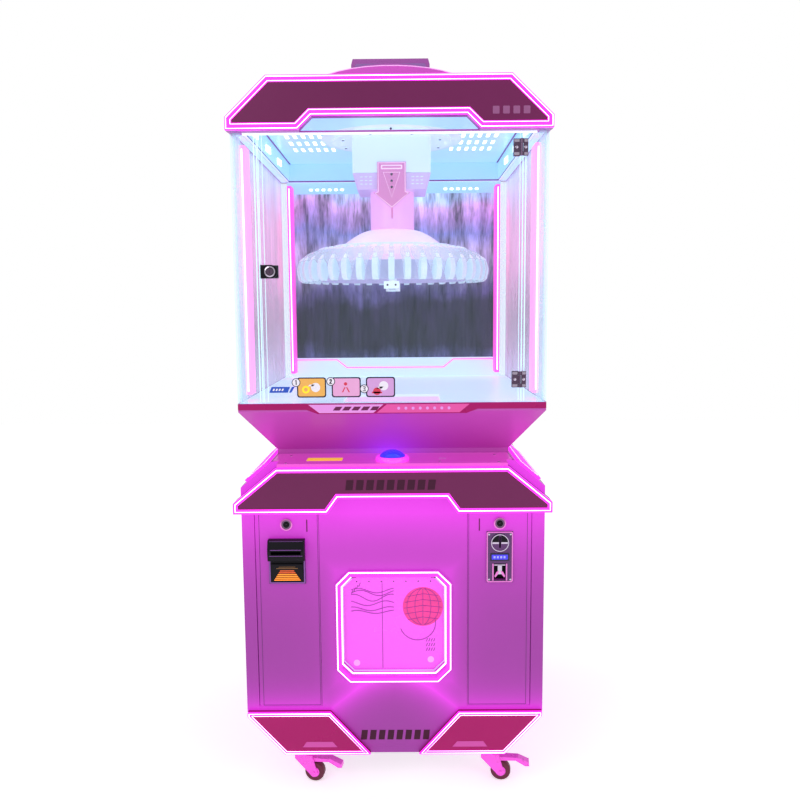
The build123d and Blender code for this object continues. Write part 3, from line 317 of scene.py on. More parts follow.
# Painted light: the panes' glow and edge sheen, and the bright polished edges, are painted
# highlights.
GLASS = clear("case_glass", "#D8F0FF", alpha=0.022, glow=0.3, edge=0.5)
EDGE = finish("glass_edge", "#CFF4FF", rough=0.15, coat=0.6, mottle=0.05, glow=0.5)
# Colours by height of the painted view, light and reflections in the rear pane.
REAR_VIEW_STOPS = ((SKIRTING_TOP, "#44486C"), (1075, "#221C30"), (1200, "#282038"), (1240, "#504A74"),
         (1300, "#8C8CA8"), (1370, "#A8A2BE"), (1430, "#7C80B4"), (1480, "#AE8CC0"),
         (1520, "#D2A8D6"), (HEADER_FOOT, "#B4C8E4"))
FILM = painted_view("painted_rear_view", REAR_VIEW_STOPS, reflection_streaks=(0.25, 1.7))
# Colours by height of the pink light and reflections painted in the side panes.
SIDE_VIEW_STOPS = ((FLOOR_Z, "#B4A4CC"), (1150, "#A06C98"), (1300, "#E08AC0"), (1450, "#E898C8"),
              (GLASS_TOP, "#C8D0F0"))
SIDE_FILM = painted_view("side_film", SIDE_VIEW_STOPS, alpha=0.4, reflection_streaks=(0.75, 1.2))
# Painted light: the glow of the clips, their noses and frost, and the carrier skirt stands in for
# highlights and light on them.
ICE = clear("clip_clear", "#E0E8F8", alpha=0.30, rough=0.06, glow=0.22, edge=0.25)
NOSE_ICE = clear("clip_nose", "#D8F0FA", alpha=0.90, rough=0.08, glow=0.16)
SKIRT = finish("skirt_lilac", "#BCC0E0", rough=0.35, coat=0.3, mottle=0.12,
               patch=30, glow=0.12)
FROST = finish("clip_frost", "#E4EEFA", rough=0.30, coat=0.4, mottle=0.06,
               glow=0.22)
# Painted light: the glow of the flap's acrylic and print is painted light, and the glare spots are
# painted highlights.
ACRYLIC = finish("flap_acrylic", "#DC50DC", rough=0.25, coat=0.3, mottle=0.14,
                 patch=7.0, glow=0.34, glow_code="#F044E8")
PRINT = finish("flap_print", "#D42A84", rough=0.3, coat=0.2, mottle=0.5, patch=26,
               glow=0.36, glow_code="#EC2C98")
PRINT_LINE = finish("flap_print_line", "#8C2494", rough=0.3, mottle=0.1, patch=30,
                    glow=0.2)
GLARE = finish("flap_glare", "#F88CF8", rough=0.2, coat=0.5, mottle=0.05, patch=30,
               glow=0.45)
BLACK = finish("black_plastic", "#080510", rough=0.42, mottle=0.2, grain=1200,
               bump=0.2, shine_level=0.18)
# Painted highlight: mauve on the bill acceptor's bevels and creases, with a faint painted glow.
MAUVE = finish("mauve_edge", "#7A3C96", rough=0.3, coat=0.4, mottle=0.1, glow=0.1)
CHROME = finish("chrome", "#C8BCD0", rough=0.12, metal=1.0, patch=20)
DARK_CHROME = finish("dark_chrome", "#6E5A72", rough=0.16, metal=1.0, mottle=0.15,
                     patch=40)
PLATE = finish("acceptor_plate", "#60406C", rough=0.24, metal=0.85, mottle=0.15,
               patch=30, stretch=(1, 1, 30))
# The pink chrome's faint glow is painted light.
PINK_CHROME = finish("pink_chrome", "#D878C4", rough=0.14, metal=0.9, coat=0.2,
                     mottle=0.2, patch=60, glow=0.10)
STEEL = finish("brushed_steel", "#9A9AA0", rough=0.32, metal=1.0, mottle=0.1,
               patch=25, stretch=(1, 1, 20))
INNER = finish("inner_steel", "#A89CA8", rough=0.45, grain=700)
# The chute's glow is painted light.
CHUTE = finish("chute_steel", "#E6D4EC", mottle=0.06, grain=700, glow=0.3)
ALLOY = finish("cast_alloy", "#A6A8AC", rough=0.42, metal=0.9, mottle=0.1,
               grain=500, bump=0.2)
BOARD = finish("board_green", "#0E5A2C", coat=0.4, mottle=0.15, patch=60)
TYRE = finish("caster_tyre", "#5C0C2C", rough=0.5, mottle=0.15, grain=900, bump=0.25)
# The casters' pink glow is painted light.
ZINC = finish("caster_zinc", "#DC4CC8", rough=0.26, metal=0.35, coat=0.4,
              mottle=0.16, patch=30, glow=0.28)
LENS_BLUE = finish("button_blue", "#1E32F0", rough=0.10, coat=0.8, mottle=0.15,
                   patch=60, glow=1.0, glow_code="#1420F0")
LENS_PINK = finish("button_pink", "#F23CE0", rough=0.18, coat=0.8, mottle=0.1,
                   patch=60, glow=0.8)
DIGIT = finish("display_digit", "#8C90F8", rough=0.3, patch=100, glow=0.7)
# The bronze print's glow is painted light.
BRONZE = finish("print_bronze", "#7A5224", mottle=0.15, patch=80, glow=0.2)
SEAM = finish("panel_seam", "#5A1E66", rough=0.5, mottle=0.1, patch=40)
# The trim marks' glow is painted light.
TRIM_MARK = finish("trim_mark", "#C2389A", rough=0.3, coat=0.4, glow=0.12)
# The sticker's glow is painted light.
YELLOW = finish("sticker_yellow", "#F2CE1E", mottle=0.06, patch=40, glow=0.45)
AMBER = finish("chevron_amber", "#FF8A1E", rough=0.3, mottle=0.15, patch=80,
               glow=0.7)
RED = finish("chevron_red", "#D8541C", rough=0.3, mottle=0.15, patch=80, glow=0.4)
NAVY = finish("print_navy", "#140C30", rough=0.35, mottle=0.1, patch=50)
DISPLAY = finish("display_blue", "#2A1EC8", rough=0.2, coat=0.5, mottle=0.2,
                 patch=200, glow=0.8)
SIGN = finish("sign_pink", "#B458B8", rough=0.25, coat=0.5, mottle=0.06)
SIGN_BOX = finish("sign_box", "#A470C0", rough=0.3, coat=0.3, mottle=0.06)
SIGN_PANEL = finish("sign_panel", "#D850CC", rough=0.3, coat=0.4, mottle=0.06,
                    glow=0.18)
# The decals' glow is painted light.
DECAL = finish("decal_lilac", "#DC8CDC", rough=0.3, coat=0.3, mottle=0.06,
               glow=0.15)
DECAL_HOT = finish("decal_magenta", "#D8489C", rough=0.3, coat=0.3, mottle=0.06,
                   glow=0.15)
CARD_WHITE, CARD_ORANGE, CARD_PINK, CARD_LILAC, CARD_RED, CARD_BLUE = (
    finish(f"card_{name}", code, rough=0.35, mottle=mottle, patch=40)
    for name, code, mottle in (("white", "#F0ECF8", 0.04), ("orange", "#F0B45A", 0.06),
                               ("pink", "#E8A8D8", 0.06), ("lilac", "#D4A0DC", 0.06),
                               ("red", "#D83250", 0.06), ("blue", "#1E50C0", 0.06)))

NODE_FINISH = {
    "base_frame": INNER, "cabinet_shell": PAINT, "front_panel": FACE, "back_panel": PAINT,
    "service_panel": PAINT, "console_top": CONSOLE, "neck_shell": NECK, "case_floor": LIT,
    "prize_chute": CHUTE, "prize_frame": FACE, "light_boxes": PAINT, "fascia_panels": PLUM,
    "trim_panels": TRIM, "light_strips": HALO, "corner_posts": POST, "ceiling_panel": CEILING,
    "roof_shell": PAINT, "top_sign": SIGN, "head_housing": HEAD, "pillar": PILLAR,
    "core_tube": HEAD, "carousel_motor": ALLOY, "pusher_arm": HEAD, "button_base": LENS_PINK,
    "hinge_pins": DARK_CHROME, "power_supply": STEEL, "control_board": BOARD, "coin_box": INNER,
    "power_inlet": BLACK, "caster_plates": ZINC, "carousel_hub": DOME, "carousel_dome": DOME,
    "clip_carrier": DOME, "prize_clips": ICE, "front_clip": ICE, "pusher_pin": CHROME,
    "start_button": LENS_BLUE, "glass_door": GLASS, "door_clamps": DARK_CHROME, "door_lock": BLACK,
    "glass_lock_plug": DARK_CHROME, "left_door": FACE, "bill_acceptor": BLACK,
    "left_lock": DARK_CHROME, "right_door": FACE, "coin_acceptor": PLATE,
    "right_lock": DARK_CHROME, "coin_return": CHROME, "prize_flap": ACRYLIC, "case_glass": GLASS,
}
for name, node in nodes.items():
    material = NODE_FINISH.get(name, TYRE if name.startswith("caster_wheel") else ZINC)
    node.data.materials.clear()
    node.data.materials.append(material)

# ---- shapes ----
PLACE = {"x": lambda u, v, t: (t * MM, u * MM, v * MM),
         "y": lambda u, v, t: (u * MM, t * MM, v * MM),
         "z": lambda u, v, t: (u * MM, v * MM, t * MM)}


def prism(outline, low, high, axis="y"):
    """Two rings that span an outline between two levels along an axis."""
    return [[PLACE[axis](u, v, level) for u, v in outline] for level in (low, high)]


def lathe(profile, u, v, axis="y", count=32):
    """Rings of a turned shape from (radius, level) pairs, about an axis through u, v."""
    turns = [2 * math.pi * i / count for i in range(count)]
    return [[PLACE[axis](u + radius * math.cos(a), v + radius * math.sin(a), level) for a in turns]
            for radius, level in profile]


def around_axis(profile, count=64):
    """Rings turned about the machine's upright axis."""
    return lathe(profile, 0, AXIS_Y, "z", count)


def both_sides(points):
    """An outline listed up its right side, closed with its mirror image."""
    return points + [(-u, v) for u, v in reversed(points)]


def rounded(u0, u1, v0, v1, radius, steps=4):
    """A rectangle with round corners."""
    points = []
    for u, v, start in ((u1 - radius, v1 - radius, 0), (u0 + radius, v1 - radius, 90),
                        (u0 + radius, v0 + radius, 180), (u1 - radius, v0 + radius, 270)):
        for i in range(steps + 1):
            a = math.radians(start + 90 * i / steps)
            points.append((u + radius * math.cos(a), v + radius * math.sin(a)))
    return points


def centred(u, v, half_u, half_v, radius):
    """A rectangle with round corners about a point."""
    return rounded(u - half_u, u + half_u, v - half_v, v + half_v, radius)


def rect(u0, u1, v0, v1):
    """Outline of a plain rectangle."""
    return [(u0, v0), (u1, v0), (u1, v1), (u0, v1)]


def slanted(u0, u1, v0, v1, lean):
    """A parallelogram whose top is shifted sideways by lean."""
    return [(u0, v0), (u1, v0), (u1 + lean, v1), (u0 + lean, v1)]


def circle(u, v, radius, count=24, start=0.0, turn=360.0):
    """Points round a circle, or round part of one."""
    whole = turn >= 360
    steps = count if whole else count - 1
    angles = [math.radians(start + turn * i / steps) for i in range(count)]
    return [(u + radius * math.cos(a), v + radius * math.sin(a)) for a in angles]


def slab(u0, u1, v0, v1, low, high, axis="y", corner=0.0):
    """Rings of a flat plate, with round corners if asked."""
    outline = rounded(u0, u1, v0, v1, corner) if corner else rect(u0, u1, v0, v1)
    return prism(outline, low, high, axis)


def frame_of(outline, hole, low, high, axis="y"):
    """Rings of a plate with a hole, for solid(..., hoop=True); both outlines have equal counts."""
    return prism(outline, low, high, axis) + prism(hole, high, low, axis)


def mirrored(shapes):
    """Shapes with their mirror images across the middle plane."""
    return shapes + [[[(-x, y, z) for x, y, z in ring] for ring in rings] for rings in shapes]


def placed(name, data, material, body):
    """Put finished data in the scene, riding on a body, with its material and slot."""
    made = bpy.data.objects.new(name, data)
    made.data.materials.append(material)
    link_object(made)
    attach(made, body)
    return made


def solid(name, shapes, material, body="cabinet", bevel=0.0, hoop=False):
    """One piece from shapes, each a list of rings joined in turn; a hoop joins last to first."""
    mesh = bpy.data.meshes.new(name)
    work = bmesh.new()
    for rings in shapes:
        loops = [[work.verts.new(point) for point in ring] for ring in rings]
        pairs = list(zip(loops, loops[1:])) + ([(loops[-1], loops[0])] if hoop else [])
        for near, far in pairs:
            for i in range(len(near)):
                j = (i + 1) % len(near)
                work.faces.new((near[i], near[j], far[j], far[i]))
        if not hoop:
            work.faces.new(loops[0])
            work.faces.new(loops[-1])
    bmesh.ops.recalc_face_normals(work, faces=work.faces)
    for face in work.faces:
        face.smooth = True
    work.to_mesh(mesh)
    work.free()
    mesh.set_sharp_from_angle(angle=math.radians(35))
    made = placed(name, mesh, material, body)
    if bevel:
        edge = made.modifiers.new("edge", "BEVEL")
        edge.width = bevel * MM
        edge.segments = 2
        edge.limit_method = "ANGLE"
        edge.angle_limit = math.radians(40)
        edge.harden_normals = True
    return made


def tube(name, paths, radius, material, body="cabinet", closed=False):
    """One piece of round tubes along paths."""
    curve = bpy.data.curves.new(name, "CURVE")
    curve.dimensions = "3D"
    curve.bevel_depth = radius * MM
    curve.bevel_resolution = 2
    curve.use_fill_caps = True
    for path in paths:
        spline = curve.splines.new("POLY")
        spline.points.add(len(path) - 1)
        for point, place in zip(spline.points, path):
            point.co = (place[0] * MM, place[1] * MM, place[2] * MM, 1.0)
        spline.use_cyclic_u = closed
    return placed(name, curve, material, body)


def marks(name, outlines, face, material, body="cabinet", out=0.4, sunk=0.05):
    """Thin marks on a forward face, between two distances in front of it."""
    shapes = [prism(outline, face - out, face - sunk) for outline in outlines]
    return solid(name, shapes, material, body)


def screws(name, places, radius, out, face, material, body="cabinet", axis="y"):
    """Domed screw heads at places on a face, standing out along an axis (out is signed)."""
    profile = [(radius, face), (radius, face + 0.4 * out), (radius * 0.6, face + 0.9 * out),
               (radius * 0.15, face + out)]
    return solid(name, [lathe(profile, u, v, axis, 12) for u, v in places], material, body)


def front_loops(node):
    """Outlines of a node's forward-facing faces, as closed lists of points."""
    work = bmesh.new()
    work.from_mesh(node.data)
    bmesh.ops.remove_doubles(work, verts=work.verts, dist=1e-5)
    beside = {}
    for edge in work.edges:
        if sum(face.normal.y < -0.99 for face in edge.link_faces) == 1:
            for vert in edge.verts:
                beside.setdefault(vert, []).append(edge.other_vert(vert))
    loops = []
    while beside:
        start = vert = next(iter(beside))
        loop = []
        while vert in beside:
            loop.append(vert.co / MM)
            ahead = [other for other in beside.pop(vert) if other in beside]
            vert = ahead[0] if ahead else start
        loops.append(loop)
    work.free()
    return loops


def span(loop, axis):
    """Lowest and highest value of a loop along an axis."""
    values = [point[axis] for point in loop]
    return min(values), max(values)


def inside(small, large):
    """Whether one loop's box lies in another's, at the same depth."""
    return (small is not large and abs(small[0].y - large[0].y) < 0.1
            and all(span(large, k)[0] < span(small, k)[0] and span(small, k)[1] < span(large, k)[1]
                    for k in (0, 2)))


def between(outer, inner, share, forward=0.0):
    """A loop that lies a share of the way from an outer loop to the inner one."""
    path = []
    for point in outer:
        other = min(inner, key=lambda q: (q - point).length)
        path.append(point.lerp(other, share) + Vector((0, -forward, 0)))
    return path


# ---- camera, floor and light ----
CAMERA_PLACE = (0.031, -2.225, 1.19)
PITCH, YAW, ROLL = math.radians(6.58), math.radians(0.36), math.radians(-0.46)

camera = bpy.data.objects.new("camera", bpy.data.cameras.new("camera"))
camera.data.lens = 35.9
camera.data.sensor_width = 36.0
camera.matrix_world = (Matrix.Translation(CAMERA_PLACE) @ Matrix.Rotation(YAW, 4, "Z")
                       @ Matrix.Rotation(math.pi / 2 - PITCH, 4, "X")
                       @ Matrix.Rotation(ROLL, 4, "Z"))
link_object(camera)
bpy.context.scene.camera = camera
bpy.context.scene.view_settings.view_transform = "Standard"

world = bpy.data.worlds.new("studio")
world.use_nodes = True
studio = world.node_tree
backdrop = studio.nodes["Background"]
backdrop.inputs["Color"].default_value = (1.0, 1.0, 1.0, 1.0)
soft_light = add(studio, "ShaderNodeBackground", {"Color": (1.0, 1.0, 1.0, 1.0), "Strength": 0.62})
seen = add(studio, "ShaderNodeLightPath")
blend = add(studio, "ShaderNodeMixShader")
studio.links.new(seen.outputs["Is Camera Ray"], blend.inputs[0])
studio.links.new(soft_light.outputs[0], blend.inputs[1])
studio.links.new(backdrop.outputs[0], blend.inputs[2])
studio.links.new(blend.outputs[0], studio.nodes["World Output"].inputs["Surface"])
bpy.context.scene.world = world

FLOOR_HALF = 6.0
floor_corners = [(x, y, 0) for x, y in rect(-FLOOR_HALF, FLOOR_HALF, -FLOOR_HALF, FLOOR_HALF)]
floor_mesh = bpy.data.meshes.new("floor")
floor_mesh.from_pydata(floor_corners, [], [(0, 1, 2, 3)])
floor = bpy.data.objects.new("floor", floor_mesh)
floor.data.materials.append(finish("pale_floor", "#FAF8FA", rough=0.8, mottle=0.01,
                                   patch=1.5, glow=0.52))
link_object(floor)


def softbox(name, place, target, size, watts):
    """A large soft area light that points at target."""
    light = bpy.data.objects.new(name, bpy.data.lights.new(name, "AREA"))
    light.data.size = size
    light.data.energy = watts
    light.location = place
    aim = Vector(target) - Vector(place)
    light.rotation_euler = aim.to_track_quat("-Z", "Y").to_euler()
    link_object(light)


softbox("key", (-1.8, -2.6, 2.6), (0, 0, 1.0), 1.8, 20)
softbox("fill", (2.2, -2.2, 1.6), (0, 0, 0.9), 2.0, 12)

# ---- light strips: pale core lines in each strip ----
CORE_RADIUS = 1.9
PROUD = 0.5                                  # how far a core line stands out of its strip


def cores(label, outer, inner, shares):
    """Core lines along one strip, at shares of the way across it, with their relative sizes."""
    for part, (share, size) in zip(("outer", "inner"), shares):
        radius = CORE_RADIUS * size
        tube(f"{label}_{part}", [between(outer, inner, share, PROUD - radius)], radius, CORE,
             closed=True)


loops = front_loops(nodes["light_strips"])
for outer in loops:
    for inner in loops:
        if not inside(inner, outer):
            continue
        low_z = span(outer, 2)[0]
        if low_z > GLASS_TOP - 10:
            cores("canopy_core", outer, inner, ((0.20, 0.8), (0.84, 0.5)))
        elif low_z > PRIZE_HIGH.z:
            cores("band_core", outer, inner, ((0.45, 1.0),))
        elif low_z > PRIZE_LOW.z - 10:
            cores("prize_core", outer, inner, ((0.12, 1.0),))
        else:
            side = "left" if span(outer, 0)[1] < 0 else "right"
            cores(f"trim_core_{side}", outer, inner, ((0.30, 1.0), (0.92, 0.45)))
window = [(x, FRONT - 6, z) for x, z in both_sides(
    [(102, PRIZE_LOW.z + 24), (126, PRIZE_LOW.z + 48), (126, PRIZE_HIGH.z - 38),
     (102, PRIZE_HIGH.z - 12)])]
tube("prize_core_window", [window], CORE_RADIUS, CORE, closed=True)

# Core line round each shoulder strip, on its sloping face.
SLOPE_FOOT, SLOPE_HEAD = Vector((357, 780.2)), Vector((304, 825))
slope_out = Vector((44.8, 53)).normalized() * (PROUD - CORE_RADIUS)
for side, label in ((-1, "left"), (1, "right")):
    ends = [SLOPE_FOOT.lerp(SLOPE_HEAD, share) + slope_out for share in (0.12, 0.88)]
    path = [(side * ends[i].x, FRONT + y, ends[i].y)
            for i, y in ((0, 20), (0, 364), (1, 364), (1, 20))]
    tube(f"shoulder_core_{label}", [path], CORE_RADIUS, CORE, closed=True)

# Diffusers over the upright light bars: pale at the front, magenta at the rear.
BAR_LOW, BAR_HIGH = 984.5, 1569.5
for label, bar_x, bar_y, material in (("front", 346, FRONT + 68, BAR),
                                      ("rear", 325, BACK - 58, BAR_REAR)):
    cover = frame_of(centred(bar_x, bar_y, 6.8, 30.8, 3), centred(bar_x, bar_y, 6.1, 30.1, 0.3),
                     BAR_LOW, BAR_HIGH, "z")
    solid(f"bar_cover_{label}", mirrored([cover]), material, hoop=True)
    core = slab(bar_x - 1.6, bar_x + 1.6, BAR_LOW + 8, BAR_HIGH - 8, bar_y - 31.6, bar_y - 30.9)
    solid(f"bar_core_{label}", mirrored([core]), CORE)

# ---- showcase ----

# Polished edges and clear seals of the panes; their glow is a painted highlight.
SEAL_Y = FRONT + 5.2
seal_range = (FLOOR_Z + 3, GLASS_TOP - 6)
solid("pane_seals", [slab(x, x + 2.2, *seal_range, SEAL_Y, SEAL_Y + 1.2)
                     for x in (304.4, 311, -306.6, -313)], EDGE)
solid("door_edge", [slab(x, x + 1.2, DOOR_LOW.z + 2, DOOR_HIGH.z - 2, FRONT - 0.3, FRONT - 0.05)
                    for x in (DOOR_LOW.x + 0.2, DOOR_LOW.x + 9, DOOR_HIGH.x - 1.4)],
      EDGE, "glass_door")
solid("corner_beads", mirrored([slab(HALF - 1.4, HALF + 0.2, *seal_range, y0, y0 + 3)
                                for y0 in (FRONT + 0.3, BACK - 8.5)]), EDGE)
solid("pane_header", [slab(-338, 338, GLASS_TOP - 4, GLASS_TOP + 2.4, SEAL_Y + 1.4, SEAL_Y + 5)],
      SLOT_DIM)

# Film inside the rear pane that paints the view, light and reflections seen through it, with a pale
# skirting and a header below the roof.
FILM_Y, FILM_HALF = BACK - 8.5, HALF - 24
for name, low, high, deep, material in (("film", SKIRTING_TOP, HEADER_FOOT, 1, FILM),
                                        ("skirting", FLOOR_Z + 0.5, SKIRTING_TOP, 4, LIT),
                                        ("header", HEADER_FOOT, GLASS_TOP + 2, 5, CEILING)):
    solid(f"rear_{name}", [slab(-FILM_HALF, FILM_HALF, low, high, FILM_Y - deep, FILM_Y)], material)
half_line = [(158, FLOOR_Z + 30), (190, FLOOR_Z + 56), (330, FLOOR_Z + 56)]
tube("skirting_line", [[(x, FILM_Y - 5.5, z) for x, z in
                        [(-x, z) for x, z in reversed(half_line)] + half_line]], 1.3, HALO)

# Films on the side panes paint the pink light and reflections seen in them.
solid("side_films", mirrored([slab(HALF - 6.2, HALF - 5.4, FRONT + 26, BACK - 26,
                                   FLOOR_Z + 1, GLASS_TOP - 2, "z")]), SIDE_FILM)

# Lining of the roof above the panes: its sides and rear, and the ledge that the panes meet.
LINING = 331
solid("roof_lining", mirrored([slab(LINING, LINING + 2, GLASS_TOP + 4, CEILING_Z - 0.5,
                                    FRONT + 24, BACK - 26)])
      + [slab(-LINING, LINING, GLASS_TOP + 4, CEILING_Z - 0.5, BACK - 25.5, BACK - 23.5)], CEILING)
solid("roof_ledge", mirrored([slab(LINING + 3, LINING + 26, FRONT + 24, BACK - 24,
                                   GLASS_TOP + 0.6, GLASS_TOP + 2.4, "z")])
      + [slab(-LINING - 8, LINING + 8, BACK - 22, BACK - 9,
              GLASS_TOP - 0.8, GLASS_TOP - 0.1, "z")], LIT)
solid("ledge_skin", mirrored([slab(LINING + 9, LINING + 26, FRONT + 26, BACK - 26,
                                   GLASS_TOP - 0.8, GLASS_TOP - 0.1, "z")]), POST_SKIN)
solid("flange_collar", [around_axis([(161, CEILING_Z - 0.2), (161, CEILING_Z - 1.4),
                                     (192, CEILING_Z - 0.9), (193, CEILING_Z - 0.2)])],
      HEAD, hoop=True)

# Rows of lamp slots in the ceiling, on the side linings and on the header.
lamps = []
rows = []
for side in (-1, 1):
    for row in range(3):
        for column in range(6):
            x = side * 225 + (column - 2.5) * 22
            y = 60 + (row - 1) * 90
            lamps.append(prism(centred(x, y, 4.2, 21.6, 3), CEILING_Z - 0.6, CEILING_Z + 1, "z"))
        for column in range(5):
            y, z = -250 + column * 16 + row * 190, GLASS_TOP + 14 + column
            lining = side * (LINING - 1)
            lamps.append(slab(y, y + 8, z, z + 18, lining - 0.3, lining + 0.3, "x", 2))
    for column in range(6):
        x = side * 215 + (column - 2.5) * 20
        rows.append(prism(centred(x, GLASS_TOP - 23, 5, 3, 1.5), FILM_Y - 6, FILM_Y - 5.2))
solid("ceiling_lamps", lamps, SLOT)
solid("header_lamps", rows, SLOT)

# ---- head, pillar and ceiling flange ----
HEAD_HIGH, HEAD_CORNER = 1638, 8
SEAM_Z = 1546
HEAD_FOOT = corners("pillar")[1].z


def head_ring(half_x, half_y, z):
    """A ring of the head's rounded section at one height."""
    return prism(centred(0, AXIS_Y, half_x, half_y, HEAD_CORNER), z, z, "z")[0]


def round_ring(radius, z):
    """A circular ring about the axis with as many points as a head ring."""
    return prism(circle(0, AXIS_Y, radius, 20, start=9), z, z, "z")[0]


upper = [head_ring(104, 85, SEAM_Z + 0.4), head_ring(104, 85, HEAD_HIGH),
         head_ring(101, 82, HEAD_HIGH), head_ring(101, 82, SEAM_Z + 0.4)]
lower = [round_ring(22, HEAD_FOOT), head_ring(92, 76, HEAD_FOOT),
         head_ring(103.6, 84.6, SEAM_Z - 0.4), head_ring(100.6, 81.6, SEAM_Z - 0.4),
         head_ring(89, 73, HEAD_FOOT + 3), round_ring(22, HEAD_FOOT + 3)]
head_parts = [solid("head_upper", [upper], HEAD, hoop=True),
              solid("head_lower", [lower], LAVENDER, hoop=True)]

# Arrow-shaped badge with a raised outline, a blank label and three screws.
BADGE_Y = corners("head_housing")[0].y
ARROW = both_sides([(0.01, 1452), (49, 1494), (38, 1494), (38, 1573)])
head_parts.append(solid("badge_plate", [prism(ARROW, BADGE_Y + 1.2, BADGE_Y + 5.6)], BADGE))
for part in head_parts:
    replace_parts(part, "head_housing")
tube("badge_outline", [[(x, BADGE_Y + 1.1, z) for x, z in both_sides(
    [(0.01, 1456), (44, 1492), (35.5, 1496), (35.5, 1570.5)])]], 1.1, BADGE_LINE, closed=True)
tube("badge_arrow", [[(-22, BADGE_Y + 1, 1546), (0, BADGE_Y + 1, 1482), (22, BADGE_Y + 1, 1546)]],
     0.9, BADGE_LINE, closed=True)
solid("badge_label", [slab(-28, 28, 1554, 1565, BADGE_Y + 0.4, BADGE_Y + 1.2, corner=2)],
      BADGE_LINE)
solid("badge_rule", [slab(-25, 25, 1557, 1562, BADGE_Y + 0.1, BADGE_Y + 0.4, corner=1)], BADGE)
screws("badge_screws", [(0, z) for z in (1541, 1524, 1508)], 3.4, -1.1, BADGE_Y + 1.2, DARK_CHROME)
dashes = []
for side in (-1, 1):
    for row in range(3):
        for column in range(3):
            x, z = side * (56 + column * 12), 1517 + row * 9
            out = BADGE_Y + 15.2 - (z - HEAD_FOOT) * 0.2
            dashes.append(slab(x - 3.5, x + 3.5, z, z + 1.6, out - 1.2, out + 0.4))
solid("head_dashes", dashes, HEAD)
solid("pillar_mark", [slab(-2.4, 2.4, 1429, 1459, AXIS_Y - 60.9, AXIS_Y - 59.7, corner=2)], BADGE)

# Screws of the ceiling flange, and a rim round it.
RIM_FOOT, RIM_HEAD = 1638.4, CEILING_Z - 0.4
screws("flange_screws", circle(0, AXIS_Y, 140, 8, start=22.5), 4, -1.2, RIM_FOOT - 3, DARK_CHROME,
       axis="z")
solid("flange_rim", [around_axis([(160.4, RIM_FOOT), (162, 1640), (162, 1644), (160.4, RIM_HEAD),
                                  (159.9, RIM_HEAD), (159.9, RIM_FOOT)])], HEAD, hoop=True)
screws("rim_screw", [(0, 1642)], 3, -0.9, AXIS_Y - 162, DARK_CHROME)

# ---- carousel ----
CLIPS = 40
PIVOT_R, PIVOT_Z = 175, 1340

# Outlines of a clip's parts, as (radius from the axis, height); the arm's heel is round its pivot.
ARM = circle(PIVOT_R, PIVOT_Z, 8.2, 7, start=90, turn=180) + [
    (188, 1324.5), (204, 1317), (217, 1308), (228, 1294), (235, 1281), (241, 1286),
    (246, 1300), (256, 1317), (248, 1328), (234, 1338.6), (216, 1345), (194, 1348)]
NOSE = [(236.5, 1279), (244, 1260.4), (253, 1261), (260.6, 1268), (264, 1282), (264.8, 1296),
        (262.8, 1305), (259.8, 1315), (252, 1316), (244, 1305), (240, 1292)]
HOOK = [(189, 1349), (200, 1348.2), (208, 1346.6), (203, 1352), (196, 1353.6)]
BARB = [(252, 1317.4), (259.4, 1316), (256, 1322), (250, 1327)]


def clip_shape(outline, half_width, turn):
    """One part of a clip in its radial plane, turned about the carousel's axis."""
    angle = math.radians(turn)
    out = Vector((math.cos(angle), math.sin(angle), 0))
    across = Vector((-out.y, out.x, 0)) * half_width
    middle = Vector((0, AXIS_Y, 0))
    return [[tuple((middle + out * r + across * side + Vector((0, 0, z))) * MM) for r, z in outline]
            for side in (-1, 1)]


def clips(label, turns, node, body):
    """Clear arms with frosted noses, which stand in for a node of clips."""
    pieces = (("arm", ARM, 7.6, ICE), ("nose", NOSE, 7.9, NOSE_ICE), ("barb", BARB, 4.6, FROST),
              ("hook", HOOK, 5.2, FROST))
    for part, outline, half_width, material in pieces:
        shapes = [clip_shape(outline, half_width, turn) for turn in turns]
        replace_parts(solid(f"{label}_{part}", shapes, material, body, bevel=0.9), node)


turns = [-90 + step * 360 / CLIPS for step in range(CLIPS)]
clips("clips", turns[1:], "prize_clips", "carousel")
clips("front_clip", turns[:1], "front_clip", "front_clip")
solid("dome_rim", [around_axis([(161.8, 1354), (166, 1353), (168, 1356), (164, 1360),
                                (160.5, 1359)], 96)], FROST, "carousel")
solid("carrier_skirt", [around_axis([(201, 1313), (201, 1266), (198, 1264), (198, 1313)], 96)],
      SKIRT, "carousel", hoop=True)
screws("pusher_screws", [(x, 1247) for x in (-10, 10)], 2.6, -0.9, corners("pusher_arm")[0].y,
       DARK_CHROME)

# ---- console ----
BUTTON_Y = -352
ring = [(radius, CONSOLE_Z + up) for radius, up in ((40.4, 2), (40.4, 6), (37, 10.6), (33, 10.6),
                                                    (33, 9.4), (39, 2))]
solid("button_ring", [lathe(ring, 0, BUTTON_Y, "z", 48)], LENS_PINK, hoop=True)
PLATE_Z = CONSOLE_Z + 0.1
# The sticker and its rule glow with painted light; the rule borrows the chevrons' lamp finish.
solid("yellow_sticker", [slab(-205, -120, -356, -320, PLATE_Z, PLATE_Z + 0.3, "z", 2)], YELLOW)
solid("yellow_rule", [slab(-200, -125, -350, -347, PLATE_Z + 0.3, PLATE_Z + 0.5, "z")], AMBER)
screws("console_screws", [(x, y) for x in (-250, 250) for y in (-382, -290)] + [(112, -372)],
       3.5, 1.2, CONSOLE_Z, CHROME, axis="z")
solid("console_mark", [frame_of(circle(120, -335, 9), circle(120, -335, 6.5),
                                PLATE_Z, PLATE_Z + 0.3, "z")], DECAL, hoop=True)

